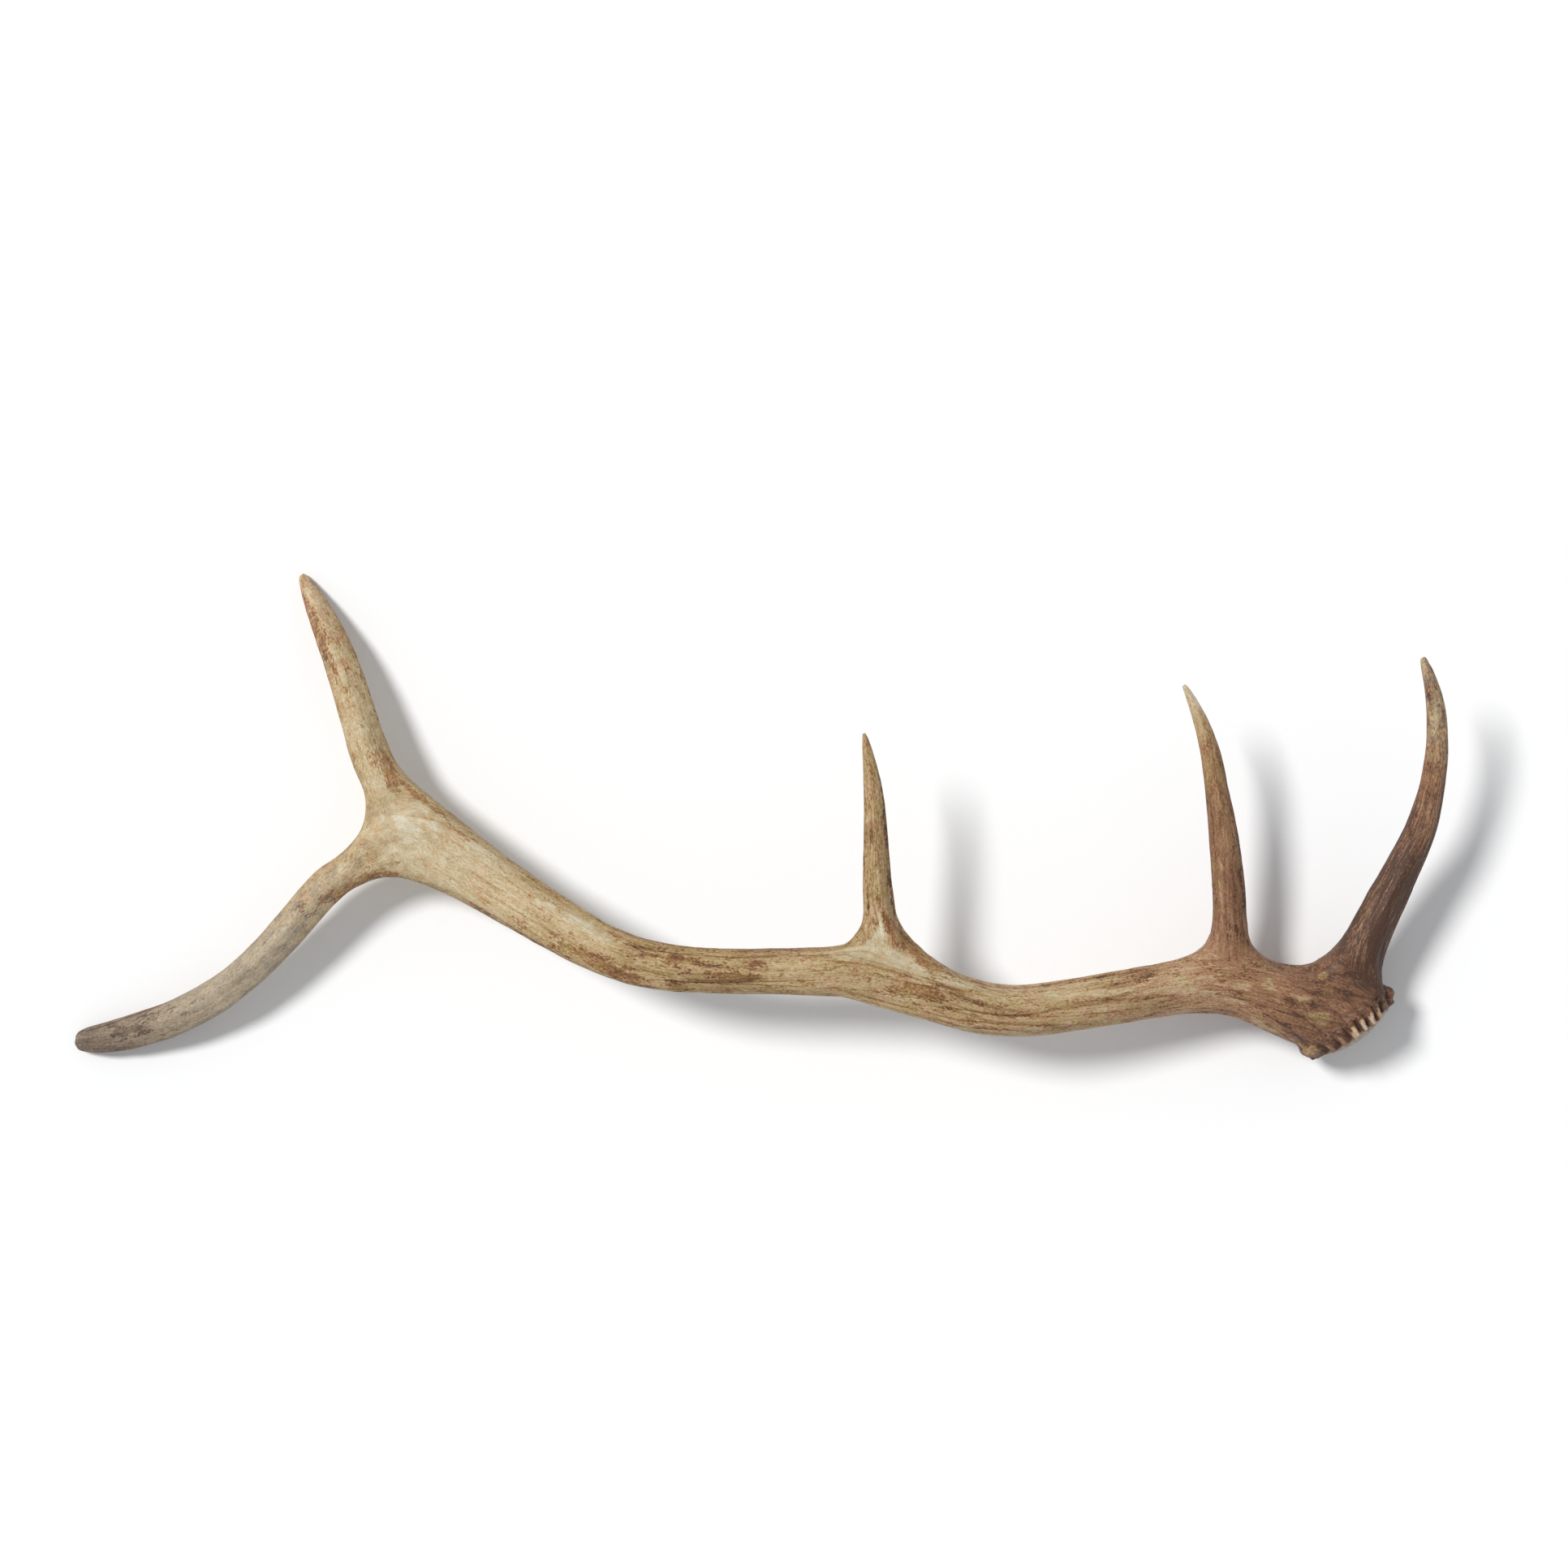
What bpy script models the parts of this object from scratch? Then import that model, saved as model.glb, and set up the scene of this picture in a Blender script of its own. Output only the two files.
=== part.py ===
"""A shed antler with five points, lying arched on a table.

The antler is one grown piece of bone. It is shaped as one skin over oval rings, which is then
parted at its forks into the main beam with its burr, the four tines and the end of the beam.
Lengths are in millimetres up to the last step, where each object is made in metres.
"""
import math

import bmesh
import bpy
import numpy as np
from mathutils import Vector, noise

METRES = 0.001        # one millimetre in metres
TO_CENTRE = (0.2, 0.8, 0.0)  # brings the middle of the antler's box over the origin
FORK_GAP = 0.3        # clearance between two branches where they are parted
BEAM_SIDES = 6        # corners of each ring of the beam
TINE_SIDES = 6        # corners of each ring of a tine, as many as its root on the beam has
SMOOTH_LEVELS = 2     # how often the skin's faces are halved
SKIN_SHARE = 0.82     # share of the skin's triangles that is kept
FIT_ROUNDS = 8        # rounds that bring the smooth skin onto the rings
SHARP_ANGLE = math.radians(50)  # an edge that turns more than this is shaded sharp

# The burr, the rough crown around the beam's foot, and the domed seat that it was shed from.
BURR_CENTRE = (406.2, -140.6, 34.1)
BURR_FACING = math.radians(-54)       # the way the seat looks, turned from +X
BURR_LEAD = 60.0                      # how far out a point lies that turns the beam's foot to the burr
# From the middle of the seat back to the beam: how far out, half the width and half the depth.
BURR_RINGS = (
    (13.0, 17.0, 16.0),
    (9.5, 28.0, 26.0),
    (4.5, 34.5, 32.0),
    (-3.0, 36.0, 33.5),
)
SEAT_RINGS = 3                        # how many of these rings lie on the seat
SEAT_REACH = 14.5                     # how far the middle of the seat stands out
SEAT_EDGE = 4.0                       # how far out the seat begins, at the rim

# The pearls, bony knobs that lie side by side around the burr's rim.
PEARLS = 22                           # an even number, so that every second one stands free
PEARL_HALF_SIZE = (8.5, 4.9, 3.5)     # along the beam, round the rim and outwards
PEARL_SIZES = (0.9, 0.45)             # the middle of their sizes, and how far the sizes vary
PEARL_SINK = 0.9                      # how deep a pearl's middle lies in the rim
PEARL_BACK = 0.0                      # how far behind the burr's centre the pearls sit
PEARL_STAGGER = 2.5                   # how far the pearls stray along the beam
PEARL_SIDES = 6                       # corners round a pearl
PEARL_BANDS = 4                       # bands of faces from end to end of a pearl
# Where the pearls read their chances: the step from pearl to pearl, and two fixed places.
SIZE_CHANCES = (1.7, 0.5, 0.2)
STAGGER_CHANCES = (1.3, 7.5, 0.2)

# Rings of the main beam, from the burr to the fork. Each row gives the two edges as they are
# seen from above, the height of the middle over the table, and half the depth.
MAIN_BEAM = (
    ((429, -112), (372, -156), 38, 27),
    ((382, -102), (359, -151), 42, 24),
    ((344.5, -95.6), (335, -140), 48, 22),
    ((299, -93.5), (303, -133.4), 56, 20),
    ((239, -105), (244, -140.5), 70, 18.3),
    ((170.5, -113), (171.5, -147.5), 83, 18),
    ((122, -96), (112, -135), 91, 18),
    ((64, -83.6), (66, -122), 95, 17.5),
    ((47, -87.4), (47, -119.6), 96, 16.8),
    ((-16.5, -88.4), (-18, -117.8), 93.5, 16),
    ((-61, -84.4), (-67, -115), 88, 15.4),
    ((-93.5, -73.7), (-106.5, -103.5), 81, 15),
    ((-125, -54.5), (-143.5, -86), 72, 14.6),
    ((-162, -29.5), (-185, -63.5), 60, 14.2),
    ((-217, 12), (-231, -44), 50, 14),
    ((-258.5, -1), (-255, -44), 45, 13.5),
)
BEAM_TIP = (
    ((-280.5, -28.5), (-265, -48), 42, 13),
    ((-300, -43.5), (-284, -62.5), 39, 12.8),
    ((-343, -91), (-328, -109.5), 31, 12.3),
    ((-389.5, -124), (-379.5, -145.5), 22, 11.8),
    ((-436, -140.5), (-430, -161.5), 12.8, 10.3),
    ((-460, -148), (-459, -162.5), 6.6, 7.1),
)
# Rings of the tines, from the root to the tip: the edge on the burr's side, the other edge, the
# height of the middle and half the depth.
BROW_TINE = (
    ((428.6, -92.2), (402.2, -77), 52, 13.5),
    ((447, -44), (425, -33.5), 63, 11.5),
    ((460, -6), (441, 0), 74, 9.5),
    ((464, 37), (448.5, 39), 87, 7.5),
    ((460, 76), (448, 75), 98, 5.8),
    ((449, 101.3), (443.2, 100.2), 106, 2.6),
)
BEZ_TINE = (
    ((334, -72), (310.8, -70), 58.5, 11.5),
    ((328, -24), (308, -25), 70, 9.5),
    ((319.5, 18), (303.5, 15), 80, 7.5),
    ((308, 56), (297, 53), 90, 5.3),
    ((291.5, 84), (287.5, 82.5), 98, 2),
)
TREZ_TINE = (
    ((102.2, -76), (71.6, -76), 94.5, 12.5),
    ((94.6, -57), (74.4, -57), 97, 9.8),
    ((91, -18), (75, -19), 101, 7.5),
    ((87, 20), (75, 18.5), 105, 5.5),
    ((78, 51), (74, 50.5), 109, 2),
)
ROYAL_TINE = (
    ((-242.5, 38.6), (-268, 28), 43, 12),
    ((-256.5, 73.3), (-279.4, 65), 35, 11.5),
    ((-271, 112), (-292, 104), 25, 10.5),
    ((-290, 145), (-305, 138), 11.7, 8),
    ((-305, 163.5), (-311.5, 160.5), 3.4, 4),
)
# The outermost point of each branch.
TIPS = {
    "brow_tine": (445.3, 103.3, 107.5),
    "bez_tine": (288, 85.5, 99),
    "trez_tine": (75.7, 53.2, 109.5),
    "royal_tine": (-309, 165.5, 2.5),
    "beam_tip": (-464.8, -156, 5.6),
}
# Each tine with its rings and the ring of the beam that its root starts at.
TINES = (
    ("brow_tine", BROW_TINE, 0),
    ("bez_tine", BEZ_TINE, 2),
    ("trez_tine", TREZ_TINE, 6),
    ("royal_tine", ROYAL_TINE, 14),
)
# How far before its first ring each branch is parted from the beam; below 0 is beyond the ring.
CUTS = {"brow_tine": 8.0, "bez_tine": 9.0, "trez_tine": -6.0, "royal_tine": 10.0, "beam_tip": 5.0}

# Long low ridges that run up the beam and the tines.
RIDGE_DEPTH = 1.2     # how far a ridge stands out
RIDGE_RADIUS = 9.0    # half the thickness of a branch from which its ridges have their full height
RIDGE_START = (-6.0, -22.0)  # how far out from the burr's centre the ridges start and are full
RIDGES_ROUND = 5      # ridges round a branch
RIDGE_LENGTH = 120.0  # how far a ridge runs before it shifts
RIDGE_SWAY = 2.5      # how far it shifts, as an angle of its own wave
SWAY_CHANCES = 0.5    # the fixed place where the shifts read their chances
RIDGE_SIZES = (0.6, 0.8)  # the middle of the ridges' heights, and how far the heights vary
BRANCH_BLEND = 8      # how sharply the ridges of two branches meet, as a power of their distance
CLOSEST = 0.05        # the least distance to a branch's line, in radii

# Colour as red, green, blue and how rough the surface is.
DARK_BROWN = ((0.155, 0.078, 0.040), 0.62)
BROWN = ((0.220, 0.125, 0.066), 0.60)
TAN = ((0.380, 0.250, 0.130), 0.60)
CREAM = ((0.560, 0.430, 0.260), 0.58)
GREY_TAN = ((0.420, 0.330, 0.220), 0.62)
FINISHES = {
    "main_beam": TAN,
    "brow_tine": DARK_BROWN,
    "bez_tine": BROWN,
    "trez_tine": TAN,
    "royal_tine": CREAM,
    "beam_tip": GREY_TAN,
}
BRANCHES = tuple(FINISHES)


def clear_scene():
    """Remove every object, so that the file holds this antler alone."""
    for old in list(bpy.data.objects):
        bpy.data.objects.remove(old, do_unlink=True)


def middle_of(row):
    """The middle of a ring that is given by its two edges."""
    (ax, ay), (bx, by), height, _ = row
    return Vector(((ax + bx) / 2, (ay + by) / 2, height))


def oval_ring(row, along, sides):
    """Corners of an oval ring, starting at its first edge and rising over its top."""
    (ax, ay), (bx, by), height, depth = row
    middle = middle_of(row)
    half_width = Vector((ax, ay, height)) - middle
    up = half_width.cross(along).normalized()
    if up.z < 0:
        up.negate()
    corners = []
    for step in range(sides):
        turn = 2 * math.pi * step / sides
        corners.append(middle + half_width * math.cos(turn) + up * depth * math.sin(turn))
    return corners


def branch_rings(rows, before, tip, sides):
    """Rings of one branch, each square to the way that the branch runs there."""
    middles = [before] + [middle_of(row) for row in rows] + [Vector(tip)]
    rings = []
    for index, row in enumerate(rows):
        along = (middles[index + 2] - middles[index]).normalized()
        rings.append(oval_ring(row, along, sides))
    return rings


def burr_frame():
    """The burr's centre, the way its seat looks, and its side towards the brow tine."""
    out = Vector((math.cos(BURR_FACING), math.sin(BURR_FACING), 0))
    side = Vector((-out.y, out.x, 0))
    return Vector(BURR_CENTRE), out, side


def burr_rings():
    """Rings of the seat and the rim, from the seat's middle back to the beam."""
    centre, out, side = burr_frame()
    rings = []
    for reach, half_width, half_depth in BURR_RINGS:
        corners = []
        for step in range(BEAM_SIDES):
            turn = 2 * math.pi * step / BEAM_SIDES
            round_rim = side * half_width * math.cos(turn) + Vector((0, 0, half_depth * math.sin(turn)))
            corners.append(centre + out * reach + round_rim)
        rings.append(corners)
    return rings


class Cage:
    """The corners and four-sided faces that the smooth skin is drawn over."""

    def __init__(self):
        self.corners = []
        self.faces = []
        self.branches = []

    def add_ring(self, points):
        first = len(self.corners)
        self.corners.extend(points)
        return list(range(first, first + len(points)))

    def add_face(self, corners, branch):
        self.faces.append(tuple(corners))
        self.branches.append(BRANCHES.index(branch))

    def join(self, ring, next_ring, branch, left_open=()):
        """A band of faces between two rings, apart from the ones left open for a root."""
        sides = len(ring)
        for side in range(sides):
            if side not in left_open:
                after = (side + 1) % sides
                self.add_face((ring[side], ring[after], next_ring[after], next_ring[side]), branch)

    def close(self, ring, tip, branch):
        """A cap of four-sided faces that meet at one point."""
        pole, = self.add_ring([Vector(tip)])
        for start in range(0, len(ring), 2):
            after = (start + 2) % len(ring)
            self.add_face((ring[start], ring[start + 1], ring[after], pole), branch)


def root_of_tine(ring, next_ring):
    """The six corners on the beam's upper edge that a tine grows from."""
    last = BEAM_SIDES - 1
    return [ring[0], ring[1], next_ring[1], next_ring[0], next_ring[last], ring[last]]


def build_cage():
    """The whole antler's cage, and the plane that each branch is parted at."""
    cage = Cage()
    burr, out, _ = burr_frame()
    rows = MAIN_BEAM + BEAM_TIP
    rings = [cage.add_ring(ring) for ring in burr_rings()]
    before = burr + out * BURR_LEAD
    rings += [cage.add_ring(ring) for ring in branch_rings(rows, before, TIPS["beam_tip"], BEAM_SIDES)]
    crown = len(BURR_RINGS)
    roots = {crown + start for _, _, start in TINES}
    first_of_tip = crown + len(MAIN_BEAM)
    for index in range(len(rings) - 1):
        branch = "beam_tip" if index + 1 >= first_of_tip else "main_beam"
        left_open = (BEAM_SIDES - 1, 0) if index in roots else ()
        cage.join(rings[index], rings[index + 1], branch, left_open)
    cage.close(rings[0], burr + out * SEAT_REACH, "main_beam")
    cage.close(rings[-1], TIPS["beam_tip"], "beam_tip")
    cuts = {"beam_tip": cut_plane("beam_tip", BEAM_TIP, middle_of(MAIN_BEAM[-1]))}
    for name, tine_rows, start in TINES:
        root = root_of_tine(rings[crown + start], rings[crown + start + 1])
        foot = sum((cage.corners[corner] for corner in root), Vector()) / len(root)
        tine = [cage.add_ring(ring) for ring in branch_rings(tine_rows, foot, TIPS[name], TINE_SIDES)]
        for ring, next_ring in zip([root] + tine, tine):
            cage.join(ring, next_ring, name)
        cage.close(tine[-1], TIPS[name], name)
        cuts[name] = cut_plane(name, tine_rows, foot)
    return cage, cuts


def cut_plane(name, rows, foot):
    """The plane that parts a branch: a point on it and the way the branch runs at its first ring."""
    first = middle_of(rows[0])
    along = (middle_of(rows[1]) - foot).normalized()
    return first - along * CUTS[name], along


def smooth_places(cage):
    """Weights that give, for each corner of the cage, its place on the smooth skin."""
    count = len(cage.corners)
    weights = np.zeros((count, count))
    faces_round = np.zeros(count)
    for face in cage.faces:
        for corner in face:
            faces_round[corner] += 1
    for face in cage.faces:
        for place, corner in enumerate(face):
            number = faces_round[corner]
            share = 1 / (number * (number + 5))
            weights[corner, face[(place + 1) % 4]] += 2 * share
            weights[corner, face[(place + 2) % 4]] += share
            weights[corner, face[(place + 3) % 4]] += 2 * share
    for corner, number in enumerate(faces_round):
        weights[corner, corner] += number / (number + 5)
    return weights


def fit_to_rings(cage):
    """Move the cage until the smooth skin passes through the rings' corners, apart from the seat's."""
    wanted = np.array([tuple(corner) for corner in cage.corners])
    weights = smooth_places(cage)
    moved = wanted.copy()
    fitted = np.ones((len(wanted), 1))
    fitted[:SEAT_RINGS * BEAM_SIDES] = 0
    for _ in range(FIT_ROUNDS):
        moved += fitted * (wanted - weights @ moved)
    cage.corners = [Vector(corner) for corner in moved]


def new_object(name, mesh):
    """An object in the scene's own collection."""
    made = bpy.data.objects.new(name, mesh)
    bpy.context.scene.collection.objects.link(made)
    return made


def take_evaluated(source):
    """The object's mesh with its modifiers worked in, as a bmesh; the object is removed."""
    bpy.context.view_layer.update()
    depsgraph = bpy.context.evaluated_depsgraph_get()
    skin = bmesh.new()
    skin.from_object(source, depsgraph)
    bpy.data.objects.remove(source, do_unlink=True)
    return skin


def smooth_skin(cage):
    """The skin of the whole antler, each face marked with its branch."""
    mesh = bpy.data.meshes.new("cage")
    mesh.from_pydata([tuple(corner) for corner in cage.corners], [], cage.faces)
    mesh.polygons.foreach_set("material_index", cage.branches)
    source = new_object("cage", mesh)
    subdivide = source.modifiers.new("smooth", "SUBSURF")
    subdivide.levels = SMOOTH_LEVELS
    subdivide.render_levels = SMOOTH_LEVELS
    subdivide.use_limit_surface = True
    thin = source.modifiers.new("thin", "DECIMATE")
    thin.ratio = SKIN_SHARE
    skin = take_evaluated(source)
    bmesh.ops.recalc_face_normals(skin, faces=skin.faces)
    return skin


def dome_seat(skin):
    """Round the burr's underside into the smooth dome that the antler was shed from."""
    centre, out, side = burr_frame()
    _, half_width, half_depth = BURR_RINGS[-1]
    for vertex in skin.verts:
        away = vertex.co - centre
        reach = away.dot(out)
        spread = math.hypot(away.dot(side) / half_width, away.z / half_depth)
        if reach > SEAT_EDGE and spread < 1:
            dome = SEAT_EDGE + (SEAT_REACH - SEAT_EDGE) * (1 - spread ** 2)
            vertex.co += out * (dome - reach)


class Line:
    """The line through the middles of a branch, to read a point's place along and round it."""

    def __init__(self, rows, start):
        self.points = [start] + [middle_of(row) for row in rows]
        self.radii = [rows[0][3]] + [row[3] for row in rows]
        self.reach = [0.0]
        for a, b in zip(self.points, self.points[1:]):
            self.reach.append(self.reach[-1] + (b - a).length)

    def place(self, point):
        """How near the point is, in radii, how far along, the turn round the line and the radius."""
        best = None
        for index, (a, b) in enumerate(zip(self.points, self.points[1:])):
            run = b - a
            share = min(max((point - a).dot(run) / run.length_squared, 0.0), 1.0)
            away = point - (a + run * share)
            radius = self.radii[index] + (self.radii[index + 1] - self.radii[index]) * share
            nearness = away.length / radius
            if best is None or nearness < best[0]:
                side = run.cross(Vector((0, 0, 1))).normalized()
                turn = math.atan2(away.z, away.dot(side))
                best = (nearness, self.reach[index] + run.length * share, turn, radius)
        return best


def uneven(x, y, z):
    """A smooth random number between -1 and 1, the same each time for the same place."""
    return noise.noise(Vector((x, y, z)))


def ramp(value, low, high):
    """A number that goes smoothly from 0 at low to 1 at high."""
    share = min(max((value - low) / (high - low), 0.0), 1.0)
    return share * share * (3 - 2 * share)


def ridge_height(reach, turn, radius, seed):
    """Low ridges that run along a branch, slowly shift and fade, and end before its tip."""
    stretch = reach / RIDGE_LENGTH
    sway = RIDGE_SWAY * uneven(stretch, seed, SWAY_CHANCES)
    middle, spread = RIDGE_SIZES
    size = middle + spread * uneven(stretch, math.cos(turn), math.sin(turn) + seed)
    return size * ramp(radius, 0, RIDGE_RADIUS) * math.cos(RIDGES_ROUND * turn + sway)


def raise_ridges(skin):
    """Push the skin in and out along its normals to leave the long low ridges."""
    lines = [Line(MAIN_BEAM[1:] + BEAM_TIP, middle_of(MAIN_BEAM[0]))]
    for _, rows, start in TINES:
        root = (middle_of(MAIN_BEAM[start]) + middle_of(MAIN_BEAM[start + 1])) / 2
        lines.append(Line(rows, root))
    burr, out, _ = burr_frame()
    skin.normal_update()
    for vertex in skin.verts:
        total = 0.0
        height = 0.0
        for seed, line in enumerate(lines):
            nearness, reach, turn, radius = line.place(vertex.co)
            weight = max(nearness, CLOSEST) ** -BRANCH_BLEND
            total += weight
            height += weight * ridge_height(reach, turn, radius, seed)
        start = ramp((vertex.co - burr).dot(out), *RIDGE_START)
        vertex.co += vertex.normal * RIDGE_DEPTH * start * height / total


def parted(skin, keep, cuts):
    """One branch's closed solid: its faces up to the planes that part it from its neighbours."""
    solid = skin.copy()
    solid.faces.ensure_lookup_table()
    for name, (point, along) in cuts.items():
        index = BRANCHES.index(name)
        own = name == keep
        if not own and keep != "main_beam":
            continue
        faces = [face for face in solid.faces if face.material_index == index]
        edges = {edge for face in faces for edge in face.edges}
        verts = {vert for face in faces for vert in face.verts}
        bmesh.ops.bisect_plane(
            solid,
            geom=[*verts, *edges, *faces],
            plane_co=point + along * (FORK_GAP if own else 0),
            plane_no=along,
            clear_inner=own,
            clear_outer=not own,
        )
    if keep != "main_beam":
        index = BRANCHES.index(keep)
        others = [face for face in solid.faces if face.material_index != index]
        bmesh.ops.delete(solid, geom=others, context="FACES")
    fill_openings(solid)
    return solid


def fill_openings(solid):
    """Close every open edge loop with one flat face."""
    rims = [edge for edge in solid.edges if edge.is_boundary]
    bmesh.ops.holes_fill(solid, edges=rims, sides=0)
    bmesh.ops.recalc_face_normals(solid, faces=solid.faces)


def flatten_foot(solid):
    """Cut off what would sink into the table, to leave a small flat face to rest on."""
    geometry = [*solid.verts, *solid.edges, *solid.faces]
    bmesh.ops.bisect_plane(solid, geom=geometry, plane_co=(0, 0, 0), plane_no=(0, 0, 1), clear_inner=True)
    fill_openings(solid)


def chance(count, places):
    """A random number between -1 and 1 for one pearl."""
    step, y, z = places
    return uneven(count * step, y, z)


def add_pearl(knobs, count):
    """One knob on the rim, longest along the beam."""
    centre, out, side = burr_frame()
    _, half_width, half_depth = BURR_RINGS[-1]
    turn = 2 * math.pi * count / PEARLS
    outwards = side * math.cos(turn) + Vector((0, 0, math.sin(turn)))
    round_rim = out.cross(outwards)
    rim = centre + side * half_width * math.cos(turn) + Vector((0, 0, half_depth * math.sin(turn)))
    stray = PEARL_BACK + PEARL_STAGGER * chance(count, STAGGER_CHANCES)
    place = rim - out * stray - outwards * PEARL_SINK
    middle, spread = PEARL_SIZES
    size = middle + spread * chance(count, SIZE_CHANCES)
    long, wide, high = (half * size for half in PEARL_HALF_SIZE)
    sphere = bmesh.ops.create_uvsphere(knobs, u_segments=PEARL_SIDES, v_segments=PEARL_BANDS, radius=1)
    for vertex in sphere["verts"]:
        x, y, z = vertex.co
        vertex.co = place + out * z * long + round_rim * x * wide + outwards * y * high


def object_from(solid, name):
    """An object made of the solid, which is freed."""
    mesh = bpy.data.meshes.new(name)
    solid.to_mesh(mesh)
    solid.free()
    return new_object(name, mesh)


def add_pearls(solid):
    """Join the knobs around the burr's rim to the beam, every second one first."""
    for start in (0, 1):
        knobs = bmesh.new()
        for count in range(start, PEARLS, 2):
            add_pearl(knobs, count)
        beam = object_from(solid, "beam")
        cutter = object_from(knobs, "knobs")
        cutter.hide_render = True
        cutter.display_type = "WIRE"
        join = beam.modifiers.new("join", "BOOLEAN")
        join.operation = "UNION"
        join.solver = "EXACT"
        join.object = cutter
        solid = take_evaluated(beam)
        bpy.data.objects.remove(cutter, do_unlink=True)
    return solid


def bone_material(name):
    """The plain finish of one branch."""
    colour, roughness = FINISHES[name]
    material = bpy.data.materials.new(name)
    material.use_nodes = True
    shader = material.node_tree.nodes["Principled BSDF"]
    shader.inputs["Base Color"].default_value = (*colour, 1)
    shader.inputs["Roughness"].default_value = roughness
    shader.inputs["Metallic"].default_value = 0.0
    return material


def finish_branch(name, solid):
    """Make a branch's object in metres, smooth and with its own material."""
    for face in solid.faces:
        face.material_index = 0
        face.smooth = True
    bmesh.ops.translate(solid, vec=TO_CENTRE, verts=solid.verts)
    bmesh.ops.scale(solid, vec=(METRES, METRES, METRES), verts=solid.verts)
    branch = object_from(solid, name)
    branch.data.materials.append(bone_material(name))
    branch.data.set_sharp_from_angle(angle=SHARP_ANGLE)


def build_antler():
    """The six branches of the antler."""
    clear_scene()
    cage, cuts = build_cage()
    fit_to_rings(cage)
    skin = smooth_skin(cage)
    raise_ridges(skin)
    dome_seat(skin)
    for name in BRANCHES:
        solid = parted(skin, name, cuts)
        if name == "main_beam":
            solid = add_pearls(solid)
        flatten_foot(solid)
        finish_branch(name, solid)
    skin.free()


build_antler()
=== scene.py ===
# %% [markdown]
# # A shed antler
# This lesson dresses one antler of the elk type: a beam of bone almost a metre long, with a knobbly
# burr at its foot, three side tines and a forked end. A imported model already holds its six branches
# as plain solids with small gaps between them. The real antler is a single grown bone, so one
# seamless piece of finely modelled bone stands in for all six. It is drawn over nearly the same
# rings as the plain solids, and keeps their sizes. Lengths are millimetres unless a name says more.

import math

import bpy
import numpy as np
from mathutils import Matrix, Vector, kdtree, noise


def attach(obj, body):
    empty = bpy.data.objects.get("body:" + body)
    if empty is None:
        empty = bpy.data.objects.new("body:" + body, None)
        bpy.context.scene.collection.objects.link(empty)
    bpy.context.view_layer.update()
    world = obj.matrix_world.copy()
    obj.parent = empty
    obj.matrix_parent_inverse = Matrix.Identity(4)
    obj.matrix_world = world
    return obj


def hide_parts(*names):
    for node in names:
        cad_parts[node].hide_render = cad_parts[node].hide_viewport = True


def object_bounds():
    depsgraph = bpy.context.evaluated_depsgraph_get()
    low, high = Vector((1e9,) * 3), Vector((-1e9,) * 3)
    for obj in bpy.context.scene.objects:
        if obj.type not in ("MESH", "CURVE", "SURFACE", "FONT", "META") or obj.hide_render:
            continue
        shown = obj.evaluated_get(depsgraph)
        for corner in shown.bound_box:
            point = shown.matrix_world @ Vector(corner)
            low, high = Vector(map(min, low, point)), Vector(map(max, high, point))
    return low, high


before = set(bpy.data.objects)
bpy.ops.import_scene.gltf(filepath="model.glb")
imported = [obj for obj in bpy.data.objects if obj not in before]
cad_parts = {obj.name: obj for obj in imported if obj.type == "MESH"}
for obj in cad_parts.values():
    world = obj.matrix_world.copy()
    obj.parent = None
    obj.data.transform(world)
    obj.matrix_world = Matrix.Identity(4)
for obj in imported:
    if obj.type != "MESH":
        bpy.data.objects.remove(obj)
solid_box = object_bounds()
BRANCHES = ("main_beam", "brow_tine", "bez_tine", "trez_tine", "royal_tine", "beam_tip")
print("solid branches:", sorted(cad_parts))

# %% [markdown]
# ## Looking straight down
# An antler can't stand, so it lies on the table and the camera hangs over it and looks straight
# down. A long lens far away would do as well, but 2.5 m keeps a trace of perspective: what lies
# higher looks a little larger. Rotations of zero leave Blender's camera looking down, with +Y at
# the top of the picture.

# %% Camera
METRES = 0.001             # Blender's own unit
PICTURE_WIDTH = 1081.9     # how much of the table the picture shows
CAMERA_PLACE = (22.6, 22.0, 2500.0)
SENSOR = 36.0


def placed(name, data):
    """A new object in the scene."""
    thing = bpy.data.objects.new(name, data)
    bpy.context.scene.collection.objects.link(thing)
    return thing


camera_data = bpy.data.cameras.new("camera")
camera_data.sensor_width = SENSOR
camera_data.lens = SENSOR * CAMERA_PLACE[2] / PICTURE_WIDTH
camera = placed("camera", camera_data)
camera.location = Vector(CAMERA_PLACE) * METRES
bpy.context.scene.camera = camera
print("lens", round(camera_data.lens, 1), "mm")

# %% [markdown]
# ## Table and light
# The antler is shown on a plain white table. A broad lamp up and to the left gives it shape and
# throws a soft shadow to the lower right, and an even white sky fills that shadow. A sun lamp does
# this with two settings: its direction and how wide its disc looks, which sets how soft the shadow's
# edge is.

# %% Table, lamp and sky
TABLE_METRES = 12.0
TABLE_WHITE = 0.97
TABLE_ROUGHNESS = 0.9
SKY_STRENGTH = 0.43
SKY_TINT = (0.975, 1.0, 1.032)     # a little blue, which balances the light that the bone throws back
LAMP_STRENGTH = 2.4
LAMP_TINT = (1.005, 1.0, 0.99)
LAMP_DISC = math.radians(13)       # how wide the lamp looks from the table
LAMP_FROM = Vector((-0.62, 0.34, 1.0))

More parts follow.
